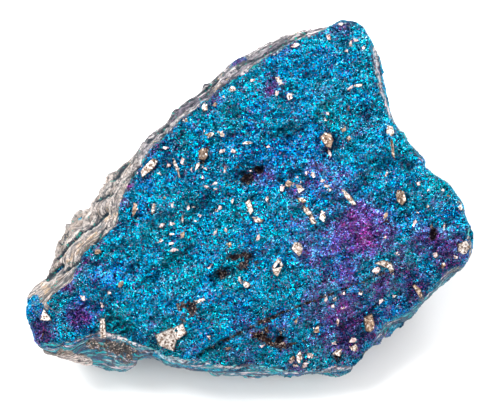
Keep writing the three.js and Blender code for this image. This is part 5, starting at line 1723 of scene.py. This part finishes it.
# The room as the stone mirrors it, low down and overhead, its light, and the ground behind.
ROOM_LOW = (0.02, 0.025, 0.03, 1.0)
ROOM_HIGH = (0.88, 0.90, 0.92, 1.0)
ROOM_LIGHT = (1.0, 1.0, 1.0, 1.0)
ROOM_BEHIND = (0.90, 0.90, 0.90, 1.0)


def stand_at(name, data, matrix):
    """A camera or lamp stood in the scene."""
    fixture = bpy.data.objects.new(name, data)
    fixture.matrix_world = matrix
    bpy.context.scene.collection.objects.link(fixture)
    return fixture


def studio_world():
    """A soft room: dark low down and pale overhead in reflections, white as light."""
    world = bpy.data.worlds.new("studio")
    world.use_nodes = True
    nodes = Nodes(world.node_tree)
    path = nodes.add("ShaderNodeLightPath").outputs
    way = nodes.add("ShaderNodeTexCoord").outputs["Generated"]
    height = nodes.add("ShaderNodeSeparateXYZ", {0: way}).outputs[2]
    room = nodes.tints(
        ROOM_LOW, (ROOM_HIGH, nodes.step(height, 0.15, 0.95)), (ROOM_LIGHT, path["Is Diffuse Ray"]),
        (ROOM_BEHIND, path["Is Camera Ray"]))
    nodes.feed(world.node_tree.nodes["Background"].inputs["Color"], room)
    return world


# ------------------------------------------------------------------ operators

def finish_piece(piece, replaced=False):
    """Tells the frame what the piece is."""
    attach(piece, "root")
    if replaced:
        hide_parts(NODE)


class SPECIMEN_OT_stone(bpy.types.Operator):
    """Make the tarnished stone with its relief and colours"""

    bl_idname = "specimen.stone"
    bl_label = "Tarnished stone"

    def execute(self, context):
        sizes = context.scene.specimen_sizes
        mesh = remeshed_stone(sizes.mesh_step)
        paint_masks(mesh)
        rough = put_in_scene("stone_relief", mesh)
        rough.modifiers.new("relief", "NODES").node_group = relief_nodes(sizes)
        shaped = finished_mesh(rough, "tarnished_stone")
        bpy.data.objects.remove(rough)
        keep_in_box(shaped)
        paint_hollows(shaped)
        add_bake_map(shaped)
        material = stone_material(
            sizes, context.scene.specimen_colours, bpy.data.node_groups["Granules"],
            bpy.data.node_groups["Bedding"])
        stone = put_in_scene("tarnished_stone", shaped, material)
        shaped.shade_smooth()
        finish_piece(stone, replaced=True)
        return {"FINISHED"}


class SPECIMEN_OT_grains(bpy.types.Operator):
    """Stand small tarnished grains all over the stone"""

    bl_idname = "specimen.grains"
    bl_label = "Tarnished grains"

    def execute(self, context):
        sizes = context.scene.specimen_sizes
        stone = bpy.data.objects["tarnished_stone"]
        growth_masks = paint_growth(stone.data)
        shards = shard_collection(shard_shapes())
        low, high = (share * sizes.shard for share in SHARD_RANGE)
        for number, (name, mask, share, colour, roughness) in enumerate(GRAINS):
            if isinstance(colour, str):
                colour = getattr(context.scene.specimen_colours, colour)
            tree = scatter_nodes(shards, mask, share * sizes.grain_density, low, high, 10 * number)
            finish_piece(scatter(stone, name, tree, plain_material(name, colour, roughness)))
        for mask in growth_masks:
            stone.data.attributes.remove(stone.data.attributes[mask])
        return {"FINISHED"}


class SPECIMEN_OT_crystals(bpy.types.Operator):
    """Grow the brassy crystals out of the broad face"""

    bl_idname = "specimen.crystals"
    bl_label = "Brassy crystals"

    def execute(self, context):
        stone = bpy.data.objects["tarnished_stone"]
        ground = BVHTree.FromObject(stone, context.evaluated_depsgraph_get())
        forms = {kind: bmesh.new() for kind in CRYSTAL_KINDS}
        for form in forms.values():
            form.verts.layers.float.new("wall")
            form.verts.layers.float.new("dull")
        random = np.random.default_rng(CRYSTAL_SEED)
        grow_outlined(forms, ground, random)
        grow_listed(forms, ground, random)
        for name, (colour, dark) in CRYSTAL_KINDS.items():
            light = getattr(context.scene.specimen_colours, colour)
            mesh = mesh_from_form(forms[name], name)
            keep_in_box(mesh)
            material = crystal_material(name, light, dark, bpy.data.node_groups["Granules"])
            finish_piece(put_in_scene(name, mesh, material))
        return {"FINISHED"}


class SPECIMEN_OT_stage(bpy.types.Operator):
    """Set the floor, the soft lights and the camera"""

    bl_idname = "specimen.stage"
    bl_label = "Stage"

    def execute(self, context):
        stage = context.scene.specimen_stage
        form = bmesh.new()
        bmesh.ops.create_grid(form, x_segments=1, y_segments=1, size=0.5 * stage.floor_size)
        paint = plain_material("floor", stage.floor_colour, 0.9, 0.0)
        paint.node_tree.nodes["Principled BSDF"].inputs["Specular IOR Level"].default_value = 0.1
        put_in_scene("floor", mesh_from_form(form, "floor"), paint)

        target = face_point(0.0, 0.0, 0.0)
        camera = bpy.data.cameras.new("camera")
        camera.lens = stage.lens
        camera.clip_end = CAMERA_REACH
        distance = stage.view_width * stage.lens / camera.sensor_width
        place = Matrix.Translation(target + FACE_NORMAL * distance)
        context.scene.camera = stand_at("camera", camera, place @ Matrix.Rotation(FACE_TILT, 4, "X"))
        for name, spot, size, power in LAMPS:
            lamp = bpy.data.lights.new(name, "AREA")
            lamp.energy = power
            lamp.size = size
            turn = (Vector(spot) - target).to_track_quat("Z", "Y").to_matrix().to_4x4()
            stand_at(name, lamp, Matrix.Translation(spot) @ turn)
        context.scene.world = studio_world()
        context.scene.view_settings.view_transform = "Standard"
        return {"FINISHED"}


class SPECIMEN_PT_panel(bpy.types.Panel):
    """Lists the specimen's sizes and its steps"""

    bl_label = "Chalcopyrite specimen"
    bl_idname = "SPECIMEN_PT_panel"
    bl_space_type = "VIEW_3D"
    bl_region_type = "UI"
    bl_category = "Specimen"

    def draw(self, context):
        layout = self.layout
        for group in SETTINGS:
            settings = getattr(context.scene, group)
            box = layout.box()
            for name in settings.__annotations__:
                box.prop(settings, name)
        for operator in OPERATORS:
            layout.operator(operator.bl_idname)


SETTINGS = {
    "specimen_sizes": StoneSizes, "specimen_colours": StoneColours, "specimen_stage": StageSizes}
OPERATORS = (SPECIMEN_OT_stone, SPECIMEN_OT_grains, SPECIMEN_OT_crystals, SPECIMEN_OT_stage)
CLASSES = (*SETTINGS.values(), *OPERATORS, SPECIMEN_PT_panel)


def register():
    for kind in CLASSES:
        bpy.utils.register_class(kind)
    for name, kind in SETTINGS.items():
        setattr(bpy.types.Scene, name, bpy.props.PointerProperty(type=kind))


def unregister():
    for name in SETTINGS:
        delattr(bpy.types.Scene, name)
    for kind in reversed(CLASSES):
        bpy.utils.unregister_class(kind)


def main():
    register()
    granule_group()
    bedding_group()
    bpy.ops.specimen.stone()
    bpy.ops.specimen.grains()
    bpy.ops.specimen.crystals()
    bpy.ops.specimen.stage()


if __name__ == "__main__":
    main()
